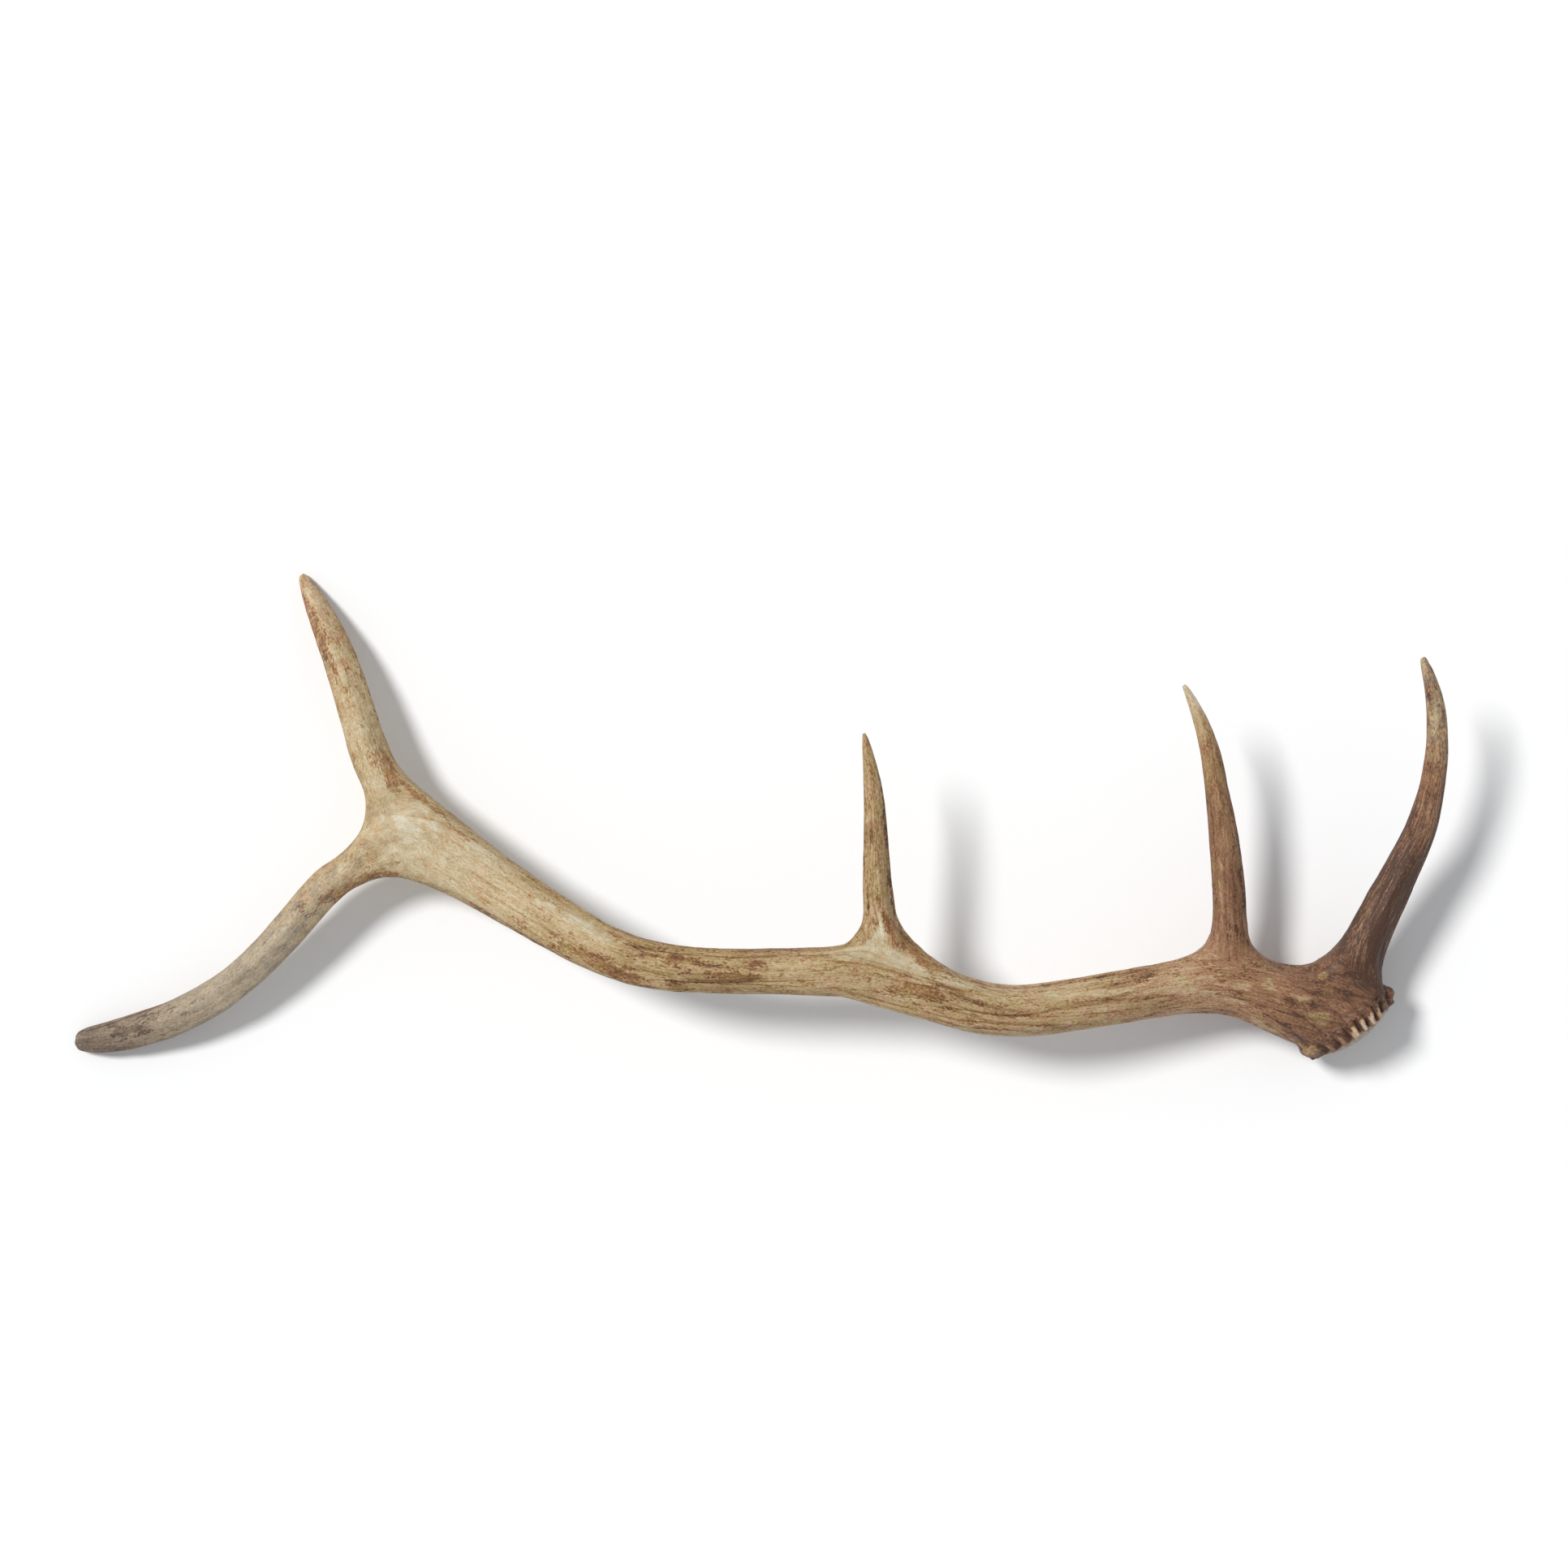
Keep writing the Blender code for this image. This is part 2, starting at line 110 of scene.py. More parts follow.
half = TABLE_METRES / 2
table_corners = [(-half, -half, 0), (half, -half, 0), (half, half, 0), (-half, half, 0)]
table_mesh = bpy.data.meshes.new("table")
table_mesh.from_pydata(table_corners, [], [(0, 1, 2, 3)])
table = placed("table", table_mesh)
table_paint = bpy.data.materials.new("table_white")
table_paint.use_nodes = True
table_look = table_paint.node_tree.nodes["Principled BSDF"].inputs
table_look["Base Color"].default_value = (TABLE_WHITE, TABLE_WHITE, TABLE_WHITE, 1)
table_look["Roughness"].default_value = TABLE_ROUGHNESS
table_look["Specular IOR Level"].default_value = 0.0
table_mesh.materials.append(table_paint)

lamp_data = bpy.data.lights.new("lamp", "SUN")
lamp_data.energy = LAMP_STRENGTH
lamp_data.angle = LAMP_DISC
lamp_data.color = LAMP_TINT
lamp = placed("lamp", lamp_data)
lamp.rotation_euler = LAMP_FROM.to_track_quat("Z", "Y").to_euler()

sky = bpy.data.worlds.new("sky")
sky.use_nodes = True
sky_look = sky.node_tree.nodes["Background"].inputs
sky_look["Color"].default_value = (*SKY_TINT, 1)
sky_look["Strength"].default_value = SKY_STRENGTH
bpy.context.scene.world = sky
bpy.context.scene.view_settings.view_transform = "Standard"
print("lamp height", round(math.degrees(math.asin(LAMP_FROM.normalized().z))), "degrees")

# %% [markdown]
# ## The rings
# An antler is drawn best the way it grows: as a line of oval cross-sections. Each row below is one
# ring: its two edges as they are seen from above, the height of its middle over the table and half
# its depth. Edges on the outline are easy to measure, and a ring's height and depth are what a top
# view can't show.

# %% Rings of the beam
BURR_CENTRE = (406.2, -140.6, 34.1)
BURR_FACING = math.radians(-54)    # the way the shed face looks, turned from +X
BURR_LEAD = 60.0                   # how far out a point lies that turns the beam's foot to the burr
# From the middle of the shed face back to the beam: how far out, half the width and half the depth.
BURR_RINGS = ((13.0, 17.0, 16.0), (9.5, 28.0, 26.0), (4.5, 34.5, 32.0), (-3.0, 36.0, 33.5))
FACE_RINGS = 3       # the first rings that lie on the shed face
FACE_REACH = 14.5    # how far out the middle of the face lies
FACE_EDGE = 4.0      # and its edge

MAIN_BEAM = (
    ((429, -112), (372, -156), 38, 27),
    ((382, -102), (359, -151), 42, 24),
    ((344.5, -95.6), (335, -140), 48, 22),
    ((299, -93.5), (303, -133.4), 56, 20),
    ((239, -105), (244, -140.5), 70, 18.3),
    ((170.5, -113), (171.5, -147.5), 83, 18),
    ((122, -96), (112, -135), 91, 18),
    ((65.8, -83.8), (67, -122), 95, 17.5),
    ((47, -87.4), (47, -119.6), 96, 16.8),
    ((-16.5, -88.4), (-18, -117.8), 93.5, 16),
    ((-61, -84.4), (-67, -115), 88, 15.4),
    ((-93.5, -73.7), (-106.5, -103.5), 81, 15),
    ((-125, -54.5), (-143.5, -86), 72, 14.6),
    ((-162, -29.5), (-185, -63.5), 60, 14.2),
    ((-217, 12), (-231, -44), 50, 14),
    ((-258.5, -1), (-255, -44), 45, 13.5),
)
BEAM_TIP = (
    ((-280.5, -28.5), (-265, -48), 42, 13),
    ((-300, -43.5), (-284, -62.5), 39, 12.8),
    ((-343, -91), (-328, -109.5), 31, 12.3),
    ((-389.5, -124), (-379.5, -145.5), 22, 11.8),
    ((-436, -140.5), (-430, -161.5), 12.8, 10.3),
    ((-460, -148), (-459, -162.5), 6.6, 7.1),
)
TIP_OF_BEAM = (-464.8, -156, 5.6)
print(len(MAIN_BEAM) + len(BEAM_TIP), "rings of the beam")

# %% Rings of the tines
BROW_TINE = (
    ((428.6, -92.2), (402.2, -77), 52, 13.5),
    ((447, -44), (425, -33.5), 63, 11.5),
    ((460, -6), (441, 0), 74, 9.5),
    ((464, 37), (448.5, 39), 87, 7.5),
    ((460, 76), (448, 75), 98, 5.8),
    ((449.2, 101.0), (443.0, 99.8), 106, 3.0),
)
BEZ_TINE = (
    ((334, -72), (310.8, -70), 58.5, 11.5),
    ((328, -24), (308, -25), 70, 9.5),
    ((319.5, 18), (303.5, 15), 80, 7.5),
    ((308, 56), (297, 53), 90, 5.3),
    ((291.5, 84), (287.5, 82.5), 98, 2),
)
TREZ_TINE = (
    ((100.6, -73.5), (73.4, -70.5), 94.5, 12.2),
    ((94.2, -54), (74.5, -52), 97, 9.8),
    ((91, -18), (75, -19), 101, 7.5),
    ((87, 20), (75, 18.5), 105, 5.5),
    ((78, 51), (74, 50.5), 109, 2),
)
ROYAL_TINE = (
    ((-242.5, 38.6), (-268, 28), 43, 12),
    ((-256.5, 73.3), (-279.4, 65), 35, 11.5),
    ((-271, 112), (-292, 104), 25, 10.5),
    ((-290, 145), (-305, 138), 11.7, 8),
    ((-305, 163.5), (-311.5, 160.5), 3.4, 4),
)
# Each tine: its rings, its outermost point and the ring of the beam that its root starts at.
TINES = {
    "brow": (BROW_TINE, (444.8, 104.9, 107.8), 0),
    "bez": (BEZ_TINE, (288, 85.5, 99), 2),
    "trez": (TREZ_TINE, (75.7, 53.2, 109.5), 6),
    "royal": (ROYAL_TINE, (-309, 165.5, 2.5), 14),
}
TO_CENTRE = np.array((0.2, 0.8, 0.0))   # brings the middle of the antler over the origin
print(sum(len(rows) for rows, _, _ in TINES.values()), "rings of the tines")

# %% [markdown]
# ## From rings to a cage
# The skin needs a closed net of four-sided faces, the cage. Bands of faces join one ring to the
# next. Where a tine grows, two faces of the beam stay open, and their six outer corners are the
# tine's first ring. So the skin runs from beam to tine in one sweep, as the bone does, and no Boolean
# leaves a seam.

# %% Corners of a ring
BEAM_SIDES = 10
TINE_SIDES = 6


def middle_of(row):
    (ax, ay), (bx, by), height, _ = row
    return Vector(((ax + bx) / 2, (ay + by) / 2, height))


def half_of(row):
    """The way from the middle of a ring to its first edge."""
    (ax, ay), _, height, _ = row
    return Vector((ax, ay, height)) - middle_of(row)


def oval(middle, half_width, half_depth, sides):
    """Corners of an oval, from its first edge over its top."""
    turns = [2 * math.pi * step / sides for step in range(sides)]
    return [middle + half_width * math.cos(turn) + half_depth * math.sin(turn) for turn in turns]


def oval_ring(row, along, sides):
    """Corners of a ring that stands square to the way along."""
    up = half_of(row).cross(along).normalized()
    if up.z < 0:
        up.negate()
    return oval(middle_of(row), half_of(row), up * row[-1], sides)


def branch_rings(rows, before, tip, sides):
    """Rings of one branch, each square to the way that the branch runs there."""
    middles = [Vector(before)] + [middle_of(row) for row in rows] + [Vector(tip)]
    return [
        oval_ring(row, (middles[index + 2] - middles[index]).normalized(), sides)
        for index, row in enumerate(rows)
    ]


burr = Vector(BURR_CENTRE)
burr_out = Vector((math.cos(BURR_FACING), math.sin(BURR_FACING), 0))
burr_side = Vector((-burr_out.y, burr_out.x, 0))
beam_rings = [
    oval(burr + burr_out * reach, burr_side * half_width, Vector((0, 0, half_depth)), BEAM_SIDES)
    for reach, half_width, half_depth in BURR_RINGS
]
beam_rings += branch_rings(MAIN_BEAM + BEAM_TIP, burr + burr_out * BURR_LEAD, TIP_OF_BEAM, BEAM_SIDES)
print(len(beam_rings), "rings of", BEAM_SIDES, "corners")

# %% [markdown]
# ## A flat pattern for the bake
# A finish that is baked to a picture needs the skin laid out flat, like a tailor's pattern. The
# cage makes this easy: each band of faces becomes a piece of a long strip, and the strips are laid
# on shelves in a square. Blender's own smart unwrap would break bumpy bone into hundreds of scraps.

# %% The cage and its pattern
STRIP_LENGTH = 300.0    # a strip is cut when it is about this long
STRIP_GAP = 4.0         # room between strips on the pattern


class Cage:
    """Corners and faces, each face with its four places on a strip of the flat pattern."""

    def __init__(self):
        self.corners = []
        self.faces = []
        self.places = []
        self.strips = []

    def add(self, points):
        first = len(self.corners)
        self.corners.extend(points)
        return list(range(first, first + len(points)))

    def start_strip(self, height):
        self.strips.append([0.0, height])

    def face(self, corners, *places):
        self.faces.append(corners)
        self.places.append((len(self.strips) - 1, *places))

    def band(self, ring, next_ring, left_open=()):
        """Faces from one ring to the next, on the strip that is being laid."""
        strip = self.strips[-1]
        sides = len(ring)
        middle, next_middle = (sum((self.corners[c] for c in r), Vector()) / sides for r in (ring, next_ring))
        x, step = strip[0], strip[1] / sides
        strip[0] += max((next_middle - middle).length, 1.0)
        for side in range(sides):
            after = (side + 1) % sides
            if side not in left_open:
                low, high = side * step, (side + 1) * step
                self.face((ring[side], next_ring[side], next_ring[after], ring[after]),
                          (x, low), (strip[0], low), (strip[0], high), (x, high))

    def close(self, ring, tip, width):
        """A cap of four-sided faces that meet at one point."""
        pole, = self.add([Vector(tip)])
        strip = self.strips[-1]
        x, step = strip[0], strip[1] / len(ring)
        strip[0] += width
        for start in range(0, len(ring), 2):
            low = start * step
            middle = low + step
            self.face((ring[start], pole, ring[(start + 2) % len(ring)], ring[start + 1]),
                      (x, low), (strip[0], middle), (x, middle + step), (x, middle))


def length_round(points):
    return sum((b - a).length for a, b in zip(points, points[1:] + points[:1]))


# %% Build the cage
cage = Cage()
rings = [cage.add(ring) for ring in beam_rings]
crown = len(BURR_RINGS)
slimmer = crown + 2       # from here on the beam is much slimmer than the burr, so a new strip starts
root_bands = {crown + start for _, _, start in TINES.values()}
cage.start_strip(length_round(beam_rings[0]))
cage.close(rings[0][::-1], burr + burr_out * FACE_REACH, FACE_REACH)
cage.start_strip(length_round(beam_rings[crown - 1]))
for index in range(len(rings) - 1):
    if cage.strips[-1][0] > STRIP_LENGTH or index == slimmer:
        cage.start_strip(length_round(beam_rings[index]))
    cage.band(rings[index], rings[index + 1], (BEAM_SIDES - 1, 0) if index in root_bands else ())
cage.close(rings[-1], TIP_OF_BEAM, BEAM_TIP[-1][3])
root_corners = []
for rows, tip, start in TINES.values():
    ring, after = rings[crown + start], rings[crown + start + 1]
    root = [ring[0], ring[1], after[1], after[0], after[-1], ring[-1]]
    root_corners += [cage.corners[corner] for corner in root]
    foot = sum((cage.corners[corner] for corner in root), Vector()) / len(root)
    tine_rings = branch_rings(rows, foot, tip, TINE_SIDES)
    cage.start_strip(length_round(tine_rings[0]))
    for points in tine_rings:
        next_ring = cage.add(points)
        cage.band(root, next_ring)
        root = next_ring
    cage.close(root, tip, rows[-1][3])
print(len(cage.corners), "corners,", len(cage.faces), "faces,", len(cage.strips), "strips")

# %% [markdown]
# ## The skin passes through the rings
# A subdivided skin shrinks inside its cage. Each corner's place on the finished skin is a fixed
# weighted mean of its neighbours, so the cage can be pushed outwards until those places lie on the
# rings. Eight rounds of "see how far off it is, move by that much" are enough. The shed face under
# the burr is left alone, because it gets its own dome.

# %% Fit the cage to the rings
FIT_ROUNDS = 8


def smooth_weights(cage):
    """Weights that give, for each corner of the cage, its place on the smooth skin."""
    count = len(cage.corners)
    weights = np.zeros((count, count))
    faces_round = np.bincount([corner for face in cage.faces for corner in face], minlength=count)
    for face in cage.faces:
        for place, corner in enumerate(face):
            share = 1 / (faces_round[corner] * (faces_round[corner] + 5))
            for step, pull in ((1, 2), (2, 1), (3, 2)):
                weights[corner, face[(place + step) % 4]] += pull * share
    weights[np.arange(count), np.arange(count)] += faces_round / (faces_round + 5)
    return weights


wanted = np.array([tuple(corner) for corner in cage.corners])
weights = smooth_weights(cage)
moved = wanted.copy()
fitted = np.ones((len(wanted), 1))
fitted[:FACE_RINGS * BEAM_SIDES] = 0
for _ in range(FIT_ROUNDS):
    moved += fitted * (wanted - weights @ moved)
off = np.abs(fitted * (wanted - weights @ moved)).max()
print("largest distance from a ring:", round(float(off), 3), "mm")

# %% Lay the strips on shelves
PATTERN_SIDE = 571.0    # the side of the square; all the shelves fit into it

strip_places = {}
x = y = shelf_height = 0.0
for strip in sorted(range(len(cage.strips)), key=lambda index: -cage.strips[index][1]):
    length, height = cage.strips[strip]
    if x + length > PATTERN_SIDE:
        x, y, shelf_height = 0.0, y + shelf_height + STRIP_GAP, 0.0
    strip_places[strip] = (x, y)
    x += length + STRIP_GAP
    shelf_height = max(shelf_height, height)
print("the shelves take", round(y + shelf_height), "mm of", round(PATTERN_SIDE))

# %% [markdown]
# ## The smooth skin
# A Subdivision Surface modifier halves every edge, four times in all. The UV map that the finish is
# baked on goes along with the faces. After two rounds the corners stand about 3 mm apart round the
# beam, which is a good moment to look at the places where the tines leave it.

# %% Halve the edges twice
SKIN_LEVELS = 2     # rounds of halving before the webs are smoothed, and again after


def halved(mesh, onto_limit):
    """The mesh after SKIN_LEVELS rounds, its corners put where endless halving leads if asked."""
    holder = placed("halved", mesh)
    halve = holder.modifiers.new("halve", "SUBSURF")
    halve.levels = halve.render_levels = SKIN_LEVELS
    halve.use_limit_surface = onto_limit
    halve.uv_smooth = "NONE"
    bpy.context.view_layer.update()
    finer = bpy.data.meshes.new_from_object(holder.evaluated_get(bpy.context.evaluated_depsgraph_get()))
    bpy.data.objects.remove(holder)
    return finer


cage_mesh = bpy.data.meshes.new("cage")
cage_mesh.from_pydata(moved.tolist(), [], cage.faces)
pattern = cage_mesh.uv_layers.new(name="OFBake")
for face, (strip, *corners) in enumerate(cage.places):
    left, low = strip_places[strip]
    for corner, (x, y) in enumerate(corners):
        pattern.data[4 * face + corner].uv = ((left + x) / PATTERN_SIDE, (low + y) / PATTERN_SIDE)
net = halved(cage_mesh, False)
print(len(net.polygons), "faces after two rounds")

# %% [markdown]
# ## Soft webs
# Where five faces meet at the foot of a tine the skin turns too sharply, and bone grows in smooth
# webs there. So the corners near the roots are moved to where the skin bends least. How much it
# bends at a corner is how far that corner is from the mean of its neighbours. Each corner is also
# held to its old place, weakly at the root and firmly further off. The method of conjugate gradients
# finds the balance: each round goes the best distance along a new direction.

# %% Smooth the webs
WEB_REACH = 20.0      # how far from a root's corners the skin is loose
LOOSEST = 0.0005      # how weakly a corner is held at the root itself
FIRMEST = 5.0         # how firmly it is held far from it
BURR_BACK = -8.0      # how far out from its middle the burr begins; from there on it keeps its shape
WEB_ROUNDS = 150

spots = np.array([corner.co[:] for corner in net.vertices])
ends = np.array([edge.vertices[:] for edge in net.edges])
starts, stops = np.concatenate([ends[:, 0], ends[:, 1]]), np.concatenate([ends[:, 1], ends[:, 0]])
neighbours = np.bincount(starts)[:, None]


def sum_round(values):
    """For each corner, the sum of what its neighbours have."""
    return np.stack([np.bincount(starts, weights=column[stops]) for column in values.T], axis=1)


def out_from_burr(places):
    """How far out from the middle of the burr each place lies; less than 0 is behind it."""
    return (places - np.array(burr)) @ np.array(burr_out)


def tension(places):
    """How strongly a skin that resists bending pulls at each corner."""
    bends = sum_round(places) / neighbours - places
    return sum_round(bends / neighbours) - bends


from_roots = np.min([np.linalg.norm(spots - np.array(corner), axis=1) for corner in root_corners], axis=0)
hold = np.minimum(LOOSEST + (from_roots / WEB_REACH) ** 4, FIRMEST)
hold[out_from_burr(spots) > BURR_BACK] = FIRMEST
free, hold = (from_roots < 2 * WEB_REACH)[:, None], hold[:, None]
shift = np.zeros_like(spots)
still_off = free * -tension(spots)
way = still_off.copy()
for _ in range(WEB_ROUNDS):
    pull = free * (tension(way) + hold * way)
    before = (still_off ** 2).sum()
    step = before / (way * pull).sum()
    shift += step * way
    still_off -= step * pull
    way = still_off + (still_off ** 2).sum() / before * way
spots += shift
net.vertices.foreach_set("co", spots.ravel())
print(int(free.sum()), "corners moved by up to", round(float(np.linalg.norm(shift, axis=1).max()), 2), "mm")

# %% [markdown]
# ## The fine skin
# Two more rounds make the skin fine enough for the ridges and knobs. With the limit surface on, its
# corners land just where the fitting expects them. They are copied out as arrays, because the
# carving that follows moves a hundred thousand corners, and NumPy moves them all at once.

# %% Halve the edges twice more
skin = halved(net, True)
flat = np.empty(3 * len(skin.vertices), np.float32)
skin.vertices.foreach_get("co", flat)
spots = flat.reshape(-1, 3).astype(float)
skin.vertices.foreach_get("normal", flat)
normals = flat.reshape(-1, 3).astype(float)
print(len(spots), "corners,", 2 * len(skin.polygons), "triangles")

# %% [markdown]
# ## Reading a place along and round a branch
# Ridges, stains and fibres all run along the bone, so every corner of the skin needs three numbers:
# how far along its branch it is, and how far to the side of the middle line and above it.
# A smooth curve through the middles of the rings gives them. Where a tine grows out of the beam both
# lines count, and a high power of the distance blends one into the other over a short way.

# %% Middle lines
STEPS = 16           # places read between two rings
BROW_ASIDE = 13.0    # how far to the side of the burr's middle the first tine's grain starts
BLEND_POWER = 6      # how quickly the beam's grain gives way to a tine's


def curve_through(rows):
    """Rows on a smooth curve that passes through the given rows."""
    padded = np.vstack([2 * rows[0] - rows[1], rows, 2 * rows[-1] - rows[-2]])
    t = np.linspace(0, 1, STEPS, endpoint=False)[:, None]
    spans = [
        (2 * b + (c - a) * t + (2 * a - 5 * b + 4 * c - d) * t ** 2 + (3 * (b - c) + d - a) * t ** 3) / 2
        for a, b, c, d in zip(padded, padded[1:], padded[2:], padded[3:])
    ]
    return np.vstack(spans + [rows[-1:]])


def unit(vectors):
    return vectors / np.linalg.norm(vectors, axis=1, keepdims=True)


class Line:
    """The middle line of a branch, with the way it runs and its half width and depth."""

    def __init__(self, rows):
        curve = curve_through(np.array(rows, float))
        self.middles, halves, self.depths = curve[:, :3], curve[:, 3:6], curve[:, 6]
        self.widths = np.linalg.norm(halves, axis=1)
        self.ways = unit(np.gradient(self.middles, axis=0))
        self.ups = unit(np.cross(halves, self.ways))
        self.ups *= np.sign(self.ups[:, 2:])
        self.sides = unit(np.cross(self.ways, self.ups))
        self.sides *= np.sign((self.sides * halves).sum(1, keepdims=True))
        steps = np.linalg.norm(np.diff(self.middles, axis=0), axis=1)
        self.reaches = np.concatenate([[0.0], np.cumsum(steps)])
        self.tree = kdtree.KDTree(len(curve))
        for index, middle in enumerate(self.middles):
            self.tree.insert(middle, index)
        self.tree.balance()

    def read(self, spots):
        """For each spot: reach along, offsets to the side and up, turn, radius, nearness in radii."""
        at = np.array([self.tree.find(spot)[1] for spot in spots])
        away = spots - self.middles[at]
        ahead, aside, above = ((away * ways[at]).sum(1) for ways in (self.ways, self.sides, self.ups))
        width, depth = self.widths[at], self.depths[at]
        radius = np.sqrt(width * depth)
        near = np.sqrt((aside / width) ** 2 + (above / depth) ** 2 + (ahead / radius) ** 2)
        return self.reaches[at] + ahead, aside, above, np.arctan2(above / depth, aside / width), radius, near


# %% Rings as rows of numbers
def line_row(row):
    """A ring as one row of numbers: its middle, the way to its first edge and half its depth."""
    return (*middle_of(row), *half_of(row), row[-1])


def closing_row(row, tip):
    """The tip as one more ring, a third of the size of the last."""
    _, _, _, *half, depth = line_row(row)
    return (*tip, *(part / 3 for part in half), depth / 3)


# %% Read every corner of the skin
burr_rows = [(*(burr + burr_out * reach), *(burr_side * half_width), half_depth)
             for reach, half_width, half_depth in BURR_RINGS]
beam_rows = [line_row(row) for row in MAIN_BEAM + BEAM_TIP]
beam_line = Line(burr_rows + beam_rows + [closing_row(BEAM_TIP[-1], TIP_OF_BEAM)])
tine_lines = []
for rows, tip, start in TINES.values():
    root = (middle_of(MAIN_BEAM[start]) + middle_of(MAIN_BEAM[start + 1])) / 2
    if start == 0:
        root = burr + burr_side * BROW_ASIDE    # the first tine's grain comes straight out of the burr
    tine_rows = [line_row(row) for row in rows] + [closing_row(rows[-1], tip)]
    tine_lines.append(Line([(*root, *tine_rows[0][3:])] + tine_rows))

on_beam = np.array(beam_line.read(spots))
on_tines = np.array([line.read(spots) for line in tine_lines])
own_tine = on_tines[:, 5].argmin(0)
on_tine = on_tines[own_tine, :, np.arange(len(spots))].T
reach, _, _, turn, radius, beam_near = on_beam
tine_reach, _, _, tine_turn, tine_radius, tine_near = on_tine
beam_pull, tine_pull = (np.maximum(near, 0.1) ** -BLEND_POWER for near in (beam_near, tine_near))
tine_share = tine_pull / (beam_pull + tine_pull)
print("along the middles, mm:", *[round(line.reaches[-1]) for line in (beam_line, *tine_lines)])

# %% [markdown]
# ## Noise that follows the grain
# Bone isn't drawn by hand but by smooth random fields. Blender's noise function gives the same
# field in each run. Read at "reach / length, side / width, up / width" it stretches along the
# branch, and a large ratio of length to width gives long fibres. Each field gets its own seed.

# %% Fields along the grain
TINE_APART = 47.0    # sets the noise of each tine apart from its neighbours'


def noise_at(*coordinates):
    """Blender's noise at each place, from one column for each coordinate."""
    return np.array([noise.noise(place) for place in zip(*(column.tolist() for column in coordinates))])


def along_grain(length, width, seed):
    """Noise from about -1 to 1, drawn out along the branches."""
    reach, aside, above = on_beam[:3]
    field = noise_at(reach / length, aside / width, above / width + seed)
    near_tine = np.flatnonzero(tine_share > 0.01)
    reach, aside, above = on_tine[:3, near_tine]
    apart = TINE_APART * (own_tine[near_tine] + 1)
    tine_field = noise_at(reach / length + apart, aside / width, above / width + seed)
    field[near_tine] += tine_share[near_tine] * (tine_field - field[near_tine])
    return field


def lumps(size, seed):
    """Noise from about -1 to 1, the same in all directions."""
    return noise_at(*(spots.T / size + seed))


def ramp(values, low, high):
    """Goes smoothly from 0 at low to 1 at high, or back if high is the smaller."""
    share = np.clip((values - low) / (high - low), 0, 1)
    return share * share * (3 - 2 * share)


def bell(values, width):
    """1 where the values are 0, and almost nothing beyond twice the width."""
    return np.exp(-(values / width) ** 2)


def span(values):
    return f"from {values.min():.2f} to {values.max():.2f}"


print("a field of fibres:", span(along_grain(40, 3, 0.5)))

# %% [markdown]
# ## Ridges and channels
# While an antler grows, blood vessels run along it under the velvet, and each leaves a shallow
# channel with low ridges between. They are strong over the burr, where they fan out, and fade
# towards the polished tips. Five broad ridges go round each branch, as on the plain solids. Finer
# ones come from the stretched noise, and a channel lies wherever one more field crosses zero.

# %% Lay down the relief
BROAD_RIDGE = 0.9
FINE_RIDGE = 0.5
CHANNEL_DEPTH = 0.55
FLUTE_DEPTH = 0.5          # flutes are the deeper channels that fan out over the burr
FLUTE_FADE = 120.0         # how far up the beam they run
LUMP_HEIGHT = 0.45
FORK_START = (640, 700)    # where along the beam the skin becomes smooth before the fork
FORK_END = (850, 790)      # and where it is grained again beyond it
RIDGE_LENGTH = 120.0       # how far a broad ridge runs before it shifts
RIDGE_SWAY = 2.5           # and how far it shifts, as an angle of its own wave

forward = out_from_burr(spots)
clear_of_burr = ramp(-forward, 6, 22)


def five_ridges(reach, turn, radius):
    """Five ridges round a branch, which sway and change in size along it."""
    sway = RIDGE_SWAY * noise_at(reach / RIDGE_LENGTH, reach * 0 + 0.3, reach * 0 + 0.5)
    size = 0.6 + 0.8 * noise_at(reach / RIDGE_LENGTH, np.cos(turn), np.sin(turn))
    return size * ramp(radius, 0, 9) * np.cos(5 * turn + sway)


thickness = radius + tine_share * (tine_radius - radius)
sturdy = ramp(thickness, 2, 12)
broad = five_ridges(reach, turn, radius)
broad += tine_share * (five_ridges(tine_reach, tine_turn, tine_radius) - broad)
# Each field along the grain has a length, a width and a seed.
fine = along_grain(90, 5.0, 3.5) + 0.5 * along_grain(45, 2.4, 8.5)
channels = bell(along_grain(170, 8.0, 12.5), 0.07) * ramp(along_grain(60, 12.0, 15.5), -0.25, 0.15)
flutes = along_grain(130, 4.2, 18.5) + 0.4 * along_grain(60, 2.2, 24.5)
flutes -= 0.6 * bell(along_grain(150, 6.5, 21.5), 0.09)
near_burr = ramp(reach, FLUTE_FADE, 20) * ramp(-forward, -2, 8)
smooth_fork = ramp(reach, *FORK_START) * ramp(reach, *FORK_END)
fine, channels = (field * (1 - 0.85 * smooth_fork) * (1 - 0.5 * near_burr) for field in (fine, channels))
relief = sturdy * (BROAD_RIDGE * broad * clear_of_burr + FINE_RIDGE * fine - CHANNEL_DEPTH * channels)
relief += FLUTE_DEPTH * near_burr * flutes
relief += LUMP_HEIGHT * sturdy * lumps(17, 4.5) + 0.3 * LUMP_HEIGHT * lumps(6, 9.5)
print("relief in millimetres:", span(relief))
